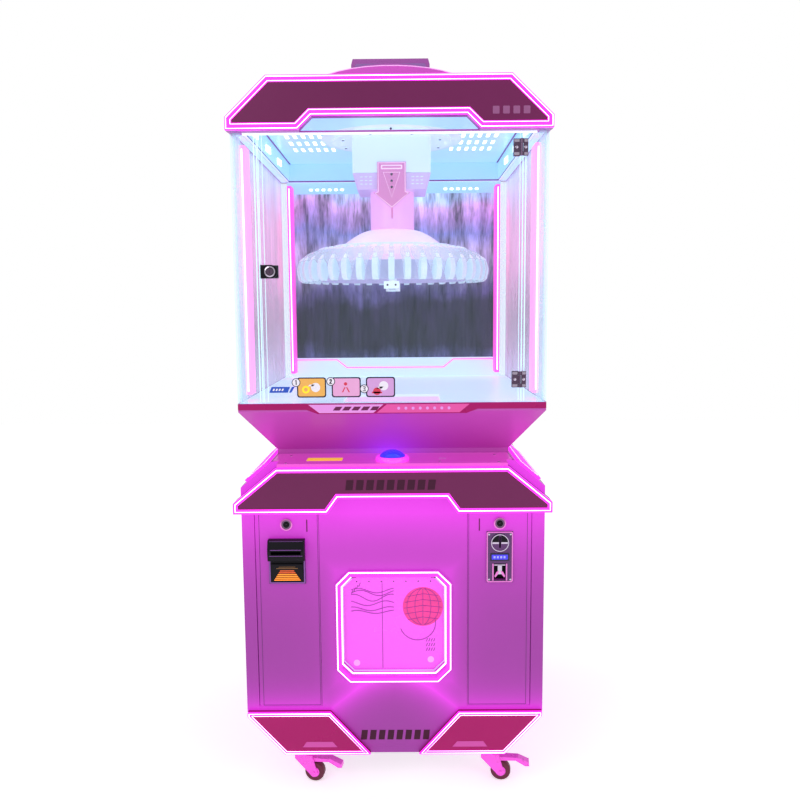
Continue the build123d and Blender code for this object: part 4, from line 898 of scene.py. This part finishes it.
# Decal on the sill: slanted fields in two tones, with generic bars.
SILL_FACE = FRONT - 2
marks("sill_field_left", [[(-172, 944), (-44, 944), (-20, 964), (-198, 964)]], SILL_FACE, DECAL,
      out=0.3)
marks("sill_field_right", [[(-36, 944), (160, 944), (184, 964), (-12, 964)]], SILL_FACE, DECAL_HOT,
      out=0.3)
marks("sill_bars", [slanted(u, u + 16, 950, 959, 7) for u in range(-140, -50, 22)], SILL_FACE, PLUM,
      out=0.6, sunk=0.3)
marks("sill_dots", [circle(u, 954.5, 3.6, 16) for u in range(16, 150, 17)], SILL_FACE, DECAL,
      out=0.6, sunk=0.3)

# ---- base panels ----
TRIM_FACE = corners("trim_panels")[0].y
solid("trim_marks", mirrored([prism([(142, 112), (228, 112), (218, 126), (154, 126)],
                                    TRIM_FACE - 0.4, TRIM_FACE - 0.05)]), TRIM_MARK)
screws("trim_screws", [(side * x, z) for side in (-1, 1)
                       for x, z in ((76, 99), (348, 196), (170, 196))],
       2.6, -0.9, TRIM_FACE - 1.5, CHROME)

# ---- prize door art ----

# Gussets behind the frame's cut upper corners, where the sheet's opening is square.
gusset = prism([(103, 549), (129, 523), (129, 549)], FRONT + 0.4, FRONT + 2)
solid("frame_gussets", mirrored([gusset]), FACE)

ART = corners("prize_flap")[0].y + 1.9       # just inside the face between the flap's raised edges


def on_flap(name, outlines, material, deep=0.3):
    """Flat print and painted glare on the face of the prize flap."""
    return marks(name, outlines, ART, material, "prize_flap", deep, 0)


on_flap("flap_seam", [rect(-28.8, -27.4, 308, 530)], PRINT_LINE, 0.4)
PLANET_X, PLANET_Z, PLANET_R = 71, 465, 49
on_flap("planet", [circle(PLANET_X, PLANET_Z, PLANET_R, 48)], PRINT, 0.2)
REACH = 0.94 * PLANET_R                     # how far the lines reach from the planet's middle
grid = []
for bow in (-0.8, -0.4, 0.0, 0.4, 0.8):
    angles = [math.radians(-84 + 14 * step) for step in range(13)]
    grid.append([(PLANET_X + bow * PLANET_R * math.cos(a), ART - 0.6,
                  PLANET_Z + REACH * math.sin(a)) for a in angles])
for lift in (-0.6, -0.3, 0.0, 0.3, 0.6):
    reach, z = REACH * math.sqrt(1 - lift ** 2), PLANET_Z + lift * PLANET_R
    grid.append([(PLANET_X + u, ART - 0.6, z + v) for u, v in ((-reach, -4), (0, 3), (reach, -2))])
tube("planet_lines", grid, 0.6, PRINT_LINE, "prize_flap")

# Lines over the rest of the flap: an arc below the planet, and waves of (height, rise, shift).
orbit = [(x, ART - 0.5, z) for x, z in circle(58, 424, 44, 20, start=200, turn=170)]
WAVES = ((506, 6, 0.4), (500, 7, 0), (488, 9, 1.1), (474, 6, 2.0), (460, 5, 1.4), (452, 4, 0.6))
waves = [[(-104 + 8 * i, ART - 0.4, base + rise * math.sin(i * 0.55 + shift)) for i in range(14)]
         for base, rise, shift in WAVES]
tube("flap_lines", [orbit] + waves, 0.8, PRINT_LINE, "prize_flap")
on_flap("flap_dots", [circle(x, 529, 1.6, 10) for x in range(-90, 91, 30)], NAVY)
# Two pale spots of painted glare on the flap.
on_flap("flap_glare", [circle(-92, 322, 8, 20), circle(90, 330, 8, 20)], GLARE, 0.2)
on_flap("flap_ticks", [slanted(x, x + 2, z, z + 8, 3)
                       for x in (78, 84, 90, 96) for z in (352, 364, 376)]
        + [slanted(x, x + 2, x + 602, x + 612, 4) for x in (-104, -98, -92, -86)], PRINT_LINE)

# ---- cabinet doors ----
ACCEPTOR_X, BILL_Z, COIN_Z = 257, 583.5, 591

# Turned ring and keyhole rim on each lock, as (radius, distance behind the lock's face).
LOCK_Z, LOCK_FACE = 674, FRONT - 4
LOCK_RING = ((14, 1.5), (14.8, -0.6), (11.6, -1.2), (10.6, 0.2), (10.6, 1.5))
LOCK_CORE = ((7.7, -0.1), (7.7, -0.9), (5.88, -1.3), (1.6, -1.3), (1.6, -0.1))
for side, body in ((-1, "left_lock"), (1, "right_lock")):
    for part, profile, material in (("ring", LOCK_RING, PINK_CHROME), ("core", LOCK_CORE, BLACK)):
        rings = lathe([(radius, LOCK_FACE + back) for radius, back in profile],
                      side * ACCEPTOR_X, LOCK_Z)
        solid(f"{body}_{part}", [rings], material, body, hoop=True)

# A slot beside each lock, and the fold round each door's edge.
SLOT_X, SLOT_Z = 208, 670
FOLD_IN, FOLD_OUT, FOLD_LOW, FOLD_HIGH = 182, 324, 215, 708
for side, body in ((-1, "left_door"), (1, "right_door")):
    solid(f"{body}_slot", [prism(centred(side * SLOT_X, SLOT_Z, 1.4, 15, 1.2),
                                 FRONT + 0.9, FRONT + 1.4)], PLUM, body)
    left, right = sorted((side * FOLD_IN, side * FOLD_OUT))
    fold = frame_of(rect(left, right, FOLD_LOW, FOLD_HIGH),
                    rect(left + 1, right - 1, FOLD_LOW + 1, FOLD_HIGH - 1),
                    FRONT - 0.5, FRONT - 0.02)
    solid(f"{body}_fold", [fold], SEAM, body, hoop=True)

# Bill acceptor: bevelled rim, hooded mouth with two rules, and a sloped lip with lit chevrons; the
# mauve of the rim, rules and creases is a painted highlight on the black bezel's edges.
BILL_X = -ACCEPTOR_X
BILL_FRONT = corners("bill_acceptor")[0].y
rim = frame_of(centred(BILL_X, BILL_Z, 43.6, 55, 3), centred(BILL_X, BILL_Z, 40.4, 52, 2),
               FRONT - 5.8, FRONT - 5.05)
solid("bill_rim", [rim], MAUVE, "left_door", hoop=True)
solid("bill_rules", [slab(BILL_X - 37, BILL_X + 37, BILL_Z + 33.5, BILL_Z + 34.6,
                          BILL_FRONT - 0.4, BILL_FRONT + 4),
                     slab(BILL_X - 40, BILL_X + 40, BILL_Z + 52.4, BILL_Z + 53.6,
                          FRONT - 18.8, FRONT - 16)], MAUVE, "left_door")
mouth = [[(BILL_X + u, FRONT - out, BILL_Z + v) for u in (-40, 40)]
         for out, v in ((24.6, 19), (18.6, 5.4))]
tube("bill_creases", mouth, 0.6, MAUVE, "left_door")
LIP_FOOT, LIP_TOP = (FRONT - 5.4, BILL_Z - 50), (FRONT - 9.6, BILL_Z - 6)
lip = [(FRONT - 5.05, LIP_FOOT[1]), LIP_FOOT, LIP_TOP, (FRONT - 5.05, LIP_TOP[1])]
solid("bill_lip", [prism(lip, BILL_X - 38, BILL_X + 38, "x")], BLACK, "left_door")


def lip_strip(low, high, wide_low, wide_high):
    """A flat trapezoid on the sloped lip, between two heights from the acceptor's middle."""
    rings = []
    for out in (0.05, 0.5):
        ring = []
        for u, v in ((-wide_low, low), (wide_low, low), (wide_high, high), (-wide_high, high)):
            rise = (BILL_Z + v - LIP_FOOT[1]) / (LIP_TOP[1] - LIP_FOOT[1])
            y = LIP_FOOT[0] + (LIP_TOP[0] - LIP_FOOT[0]) * rise - out
            ring.append(((BILL_X + u) * MM, y * MM, (BILL_Z + v) * MM))
        rings.append(ring)
    return rings


stripes = [lip_strip(low, low + 2.6, 33 - (low + 48) * 0.62, 31 - (low + 48) * 0.62)
           for low in (-47.5, -42.8, -38.1, -33.4, -28.7, -24.0)]
solid("bill_chevrons", stripes[:4], AMBER, "left_door")
solid("bill_chevrons_top", stripes[4:], RED, "left_door")
solid("bill_marks", [lip_strip(-17.4, -15.8, 26, 26), lip_strip(-13.4, -12.2, 20, 20)], BRONZE,
      "left_door")

# Coin acceptor: round entry with a dark upper half, lit display, and the framed return.
COIN_X, COIN_FACE = ACCEPTOR_X, FRONT - 4
ENTRY_Z, ENTRY_FACE = COIN_Z + 36, FRONT - 8


def coin_plate(u0, u1, v0, v1, out, sunk=0.05, corner=0.0):
    """A plate of the coin acceptor, measured from its middle and out from its face."""
    return slab(COIN_X + u0, COIN_X + u1, COIN_Z + v0, COIN_Z + v1,
                COIN_FACE - out, COIN_FACE - sunk, corner=corner)


SLIT_HALF = 2.6                              # half the width of the entry's upright slit
entry_arc = [(u, v) for u, v in circle(COIN_X, ENTRY_Z, 19.4, 17, turn=180)
             if u < COIN_X - SLIT_HALF]
left_half = [(COIN_X - SLIT_HALF, ENTRY_Z + 19.2)] + entry_arc + [(COIN_X - SLIT_HALF, ENTRY_Z)]
right_half = [(2 * COIN_X - u, v) for u, v in left_half]
marks("coin_entry_dark", [left_half, right_half], ENTRY_FACE, BLACK, "right_door", 0.6)
entry_ring = frame_of(circle(COIN_X, ENTRY_Z, 21.4, 40), circle(COIN_X, ENTRY_Z, 19.6, 40),
                      ENTRY_FACE - 1.1, ENTRY_FACE + 3.6)
solid("coin_entry_ring", [entry_ring], CHROME, "right_door", hoop=True)
solid("coin_entry_bar", [coin_plate(u, u + 15.5, 34, 38, 5.2, 4.6) for u in (-18.5, 3)], CHROME,
      "right_door")
plate_rim = frame_of(centred(COIN_X, COIN_Z, 31.6, 62.6, 4), centred(COIN_X, COIN_Z, 29, 60, 3),
                     COIN_FACE - 0.8, COIN_FACE - 0.05)
solid("coin_rim", [plate_rim], PINK_CHROME, "right_door", hoop=True)
solid("coin_display_frame", [coin_plate(-23, 23, -9.5, 9.5, 1.4, corner=2)], NAVY, "right_door")
solid("coin_display", [coin_plate(-19.5, 19.5, -6, 6, 1.8, 1.4, corner=1)], DISPLAY, "right_door")
solid("coin_digits", [coin_plate(u, u + 4.5, -2.6, 2.6, 2, 1.8) for u in (-15, -7, 1, 9)], DIGIT,
      "right_door")
screws("coin_screws", [(COIN_X + u, COIN_Z + v) for u in (-26, 26) for v in (-56, 56)],
       2.4, -0.8, COIN_FACE, CHROME, "right_door")
solid("coin_cheeks", [coin_plate(u, u + 3, -58, -16, 2.4) for u in (-18, 15)], PINK_CHROME,
      "right_door")
WING = ((1.5, -33), (4.6, -42), (10.6, -50), (13.2, -46.5), (8, -36))
marks("lever_wings", [[(COIN_X + side * u, COIN_Z + v) for u, v in WING] for side in (-1, 1)],
      corners("coin_return")[0].y, PINK_CHROME, "coin_return", 0.6)
solid("coin_recess", [frame_of(rect(COIN_X - 13.9, COIN_X + 13.9, COIN_Z - 57.9, COIN_Z - 16.1),
                               rect(COIN_X - 13.6, COIN_X + 13.6, COIN_Z - 57.6, COIN_Z - 16.4),
                               FRONT - 3.9, FRONT + 12)], BLACK, "right_door", hoop=True)
solid("coin_back", [coin_plate(-13.6, 13.6, -57.6, -16.4, -16.4, -17.6)], BLACK, "right_door")

# ---- glass door ----
GLASS_LOCK_X, GLASS_LOCK_Z = -280, 1276
lock_face = corners("door_lock")[0].y
solid("glass_lock_ring", [lathe([(12.6, lock_face - 0.05), (12.6, lock_face - 1.4),
                                 (9.6, lock_face - 2), (9.2, lock_face - 0.05)],
                                GLASS_LOCK_X, GLASS_LOCK_Z)], CHROME, "glass_door", hoop=True)
CLAMP_HEIGHTS, CLAMP_FACE = (1021, 1552), FRONT - 3
for name, x0, x1, body in (("door_clamp", 284, 296, "glass_door"),
                           ("fixed_clamp", 306, 315, "cabinet")):
    pads = [slab(x0, x1, z + up, z + up + 6, CLAMP_FACE - 0.7, CLAMP_FACE - 0.05, corner=1.5)
            for z in CLAMP_HEIGHTS for up in (11.5, -17.5)]
    solid(f"{name}_pads", pads, CHROME, body, bevel=0.3)
    screws(f"{name}_screws", [((x0 + x1) / 2, z) for z in CLAMP_HEIGHTS], 3.2, -1.0, CLAMP_FACE,
           CHROME, body)

# Instruction cards at the foot of the glass door: generic pictures and the numbers 1 to 3.
FILM_THICK = 0.12


def on_door(name, outlines, material, level):
    """Printed film on the outside of the door, at a level of the print's layers."""
    return marks(name, outlines, FRONT - 0.05, material, "glass_door",
                 FILM_THICK * (level + 1), FILM_THICK * level)


CARD_LOW, CARD_TALL, CARD_WIDE, BORDER = 981, 48, 69, 3
CARDS = (-224, -142, -61)


def card_outline(x, inset, radius):
    """Outline of the card whose left edge is at x, drawn in from its edges."""
    return rounded(x + inset, x + CARD_WIDE - inset, CARD_LOW + inset, CARD_LOW + CARD_TALL - inset,
                   radius)


on_door("card_borders", [card_outline(x, 0, 6) for x in CARDS], NAVY, 0)
for number, (x, material) in enumerate(zip(CARDS, (CARD_ORANGE, CARD_PINK, CARD_LILAC)), 1):
    on_door(f"card_field_{number}", [card_outline(x, BORDER, 4.5)], material, 1)


def on_card(name, card, outlines, material, level=2):
    """Print on one card, with outlines measured from its lower left corner."""
    moved = [[(CARDS[card] + u, CARD_LOW + v) for u, v in outline] for outline in outlines]
    return on_door(name, moved, material, level)


on_card("card_coin", 0, [circle(21, 19, 9, 20)], YELLOW)
on_card("card_coin_rim", 0, [circle(21, 19, 5, 16)], CARD_ORANGE, 3)
on_card("card_hand", 0, [circle(44, 24, 11, 18), slanted(26, 38, 27, 31, 4)], CARD_WHITE)
on_card("card_clip", 1, [slanted(24, 27, 12, 24, 6), slanted(40, 43, 12, 24, -6),
                         circle(33, 32, 4, 14)], CARD_RED)
on_card("card_button", 2, [circle(26, 14, 9, 20), slanted(14, 38, 9, 13, 0)], CARD_RED)
on_card("card_palm", 2, [circle(42, 27, 11, 18), slanted(24, 36, 20, 25, 6)], CARD_WHITE)

# Numbered bullets; the strokes of the numbers are drawn about the bullet's middle.
BULLETS = [(-226, CARD_LOW + 36), (-144, CARD_LOW + 38), (-65, CARD_LOW + 20)]
STROKES = ([rect(-0.5, 0.9, -3.4, 3.4), [(-2.0, 1.6), (-0.5, 2.4), (-0.5, 3.4)]],
           [rect(-2, 2, -3.4, -2.3), [(-2, -2.3), (0, -2.3), (2, 1.2), (0.6, 1.6)],
            [(-2, 1.2), (2, 1.2), (1.2, 3.4), (-1.2, 3.4)]],
           [[(-2, -3.4), (1.4, -3.4), (2, -2.3), (-2, -2.3)], rect(-1, 0.9, -0.5, 0.5),
            [(0.7, -2.3), (2, -2.3), (1.2, 0), (2, 2.3), (0.7, 2.3)],
            [(-2, 2.3), (2, 2.3), (1.4, 3.4), (-2, 3.4)]])
STROKE_SCALE = 1.7
on_door("card_bullet_rims", [circle(x, z, 10.4, 24) for x, z in BULLETS], NAVY, 1.5)
on_door("card_bullets", [circle(x, z, 8.6, 20) for x, z in BULLETS], CARD_WHITE, 2)
on_door("card_numbers", [[(x + STROKE_SCALE * u, z + STROKE_SCALE * v) for u, v in stroke]
                         for (x, z), strokes in zip(BULLETS, STROKES) for stroke in strokes],
        NAVY, 3)
on_door("blue_sticker", [slanted(-290, -246, 993, 1007, 6)], CARD_BLUE, 0)
on_door("sticker_bars", [slanted(u, u + 4, 997.5, 1002.5, 2) for u in range(-282, -254, 7)],
        CARD_WHITE, 1)
on_door("sticker_chevron", [[(-243, 993), (-238, 993), (-229, 1007), (-236, 1007)]], CARD_BLUE, 0)

# ---- sign on the roof ----
SIGN_TOP = corners("top_sign")[1].z
ARCH_Y = -225
angles = [math.radians(a) for a in range(12, 169, 12)]
crown = [(186 * math.cos(a), CANOPY_TOP + 14 + 48 * math.sin(a)) for a in angles]
marks("sign_panel", [[(-150, CANOPY_TOP + 6), (150, CANOPY_TOP + 6)] + crown], ARCH_Y, SIGN_PANEL,
      out=0.8)
tube("sign_line", [[(x, ARCH_Y - 0.9, z) for x, z in crown]], 1.2, CORE_DIM)
BOX_FRONT, BOX_BACK = -110, -30
solid("sign_box_front", [slab(-90, 90, CANOPY_TOP + 8, SIGN_TOP - 12,
                              BOX_FRONT - 1, BOX_FRONT - 0.1, corner=6)], SIGN_BOX)
solid("sign_box_lid", [slab(-95, 95, BOX_FRONT + 1, BOX_BACK - 1,
                            SIGN_TOP - 1.4, SIGN_TOP - 0.2, "z", 4)], SIGN_BOX)

# Blank bars in the places of lettering: on the sign, the canopy and band panels, and the foot.
fascia_loops = sorted(front_loops(nodes["fascia_panels"]), key=lambda loop: span(loop, 2)[1])
band_loop, canopy_loop = fascia_loops[0], fascia_loops[-1]
band_top = span(band_loop, 2)[1]
foot_z = corners("front_panel")[0].z + 34
marks("sign_bars", [slanted(u, u + 15, CANOPY_TOP + 16, CANOPY_TOP + 32, 3)
                    for u in range(-96, 90, 22)], ARCH_Y, DECAL_HOT, out=1.4, sunk=0.8)
marks("canopy_marks", [rounded(u, u + 15, 1620, 1637, 2) for u in range(232, 302, 23)],
      canopy_loop[0].y, PLUM_MARK)
marks("band_marks", [slanted(u, u + 17, band_top - 42, band_top - 18, 3)
                     for u in range(-110, 90, 24)], band_loop[0].y, MARK)
marks("foot_marks", [slanted(u, u + 15, foot_z, foot_z + 25, 3) for u in range(-85, 70, 22)],
      FRONT, MARK, out=0.45)

# ---- sides and rear ----
LOUVRE_FOOT, LOUVRE_STEP = 300, 16
vents = []
for side, label in ((-1, "left"), (1, "right")):
    low, high = sorted((side * (HALF - 0.1), side * (HALF + 0.6)))
    seam = frame_of(rect(-320, 370, 230, 740), rect(-318.6, 368.6, 231.4, 738.6), low, high, "x")
    solid(f"side_seam_{label}", [seam], SEAM, hoop=True)
    screws(f"side_screws_{label}", [(y, z) for y in (-300, 25, 350) for z in (245, 485, 725)],
           4, side * 1.2, side * HALF, CHROME, axis="x")
    low, high = sorted((side * HALF, side * (HALF + 2.2)))
    for row in range(7):
        z = LOUVRE_FOOT + row * LOUVRE_STEP
        vents.append([[(x * MM, y * MM, height * MM) for x, y, height in ring] for ring in
                      ([(low, 180, z), (low, 300, z), (high, 298, z + 5), (high, 182, z + 5)],
                       [(low, 180, z + 9), (low, 300, z + 9), (high, 298, z + 6.5),
                        (high, 182, z + 6.5)])])
solid("side_louvres", vents, PAINT)
screws("rear_screws", [(x, z) for x in (-208, 208) for z in (190, 425, 660)]
       + [(x, z) for x in (-340, 340) for z in (240, 500, 730, 900)],
       4, 0.4, BACK - 0.2, CHROME)

# ---- casters ----
YAWS = {"front_left": -10, "front_right": -8, "rear_left": -20, "rear_right": -4}
HUB = [(13, 10.05), (13, 10.7), (8, 11.2), (4, 11.2), (4, 10.05)]     # radius, distance out
for corner, yaw in YAWS.items():
    node = f"caster_wheel_{corner}"
    low, high = corners(node)
    turn = Matrix.Rotation(math.radians(yaw), 3, "Z")
    shapes = []
    for side in (-1, 1):
        rings = lathe([(radius, side * level) for radius, level in HUB], 0, 0, "y", 24)
        shapes.append([[turn @ Vector(point) + (low + high) / 2 * MM for point in ring]
                       for ring in rings])
    solid(f"wheel_hub_{corner}", shapes, ZINC, node, hoop=True)
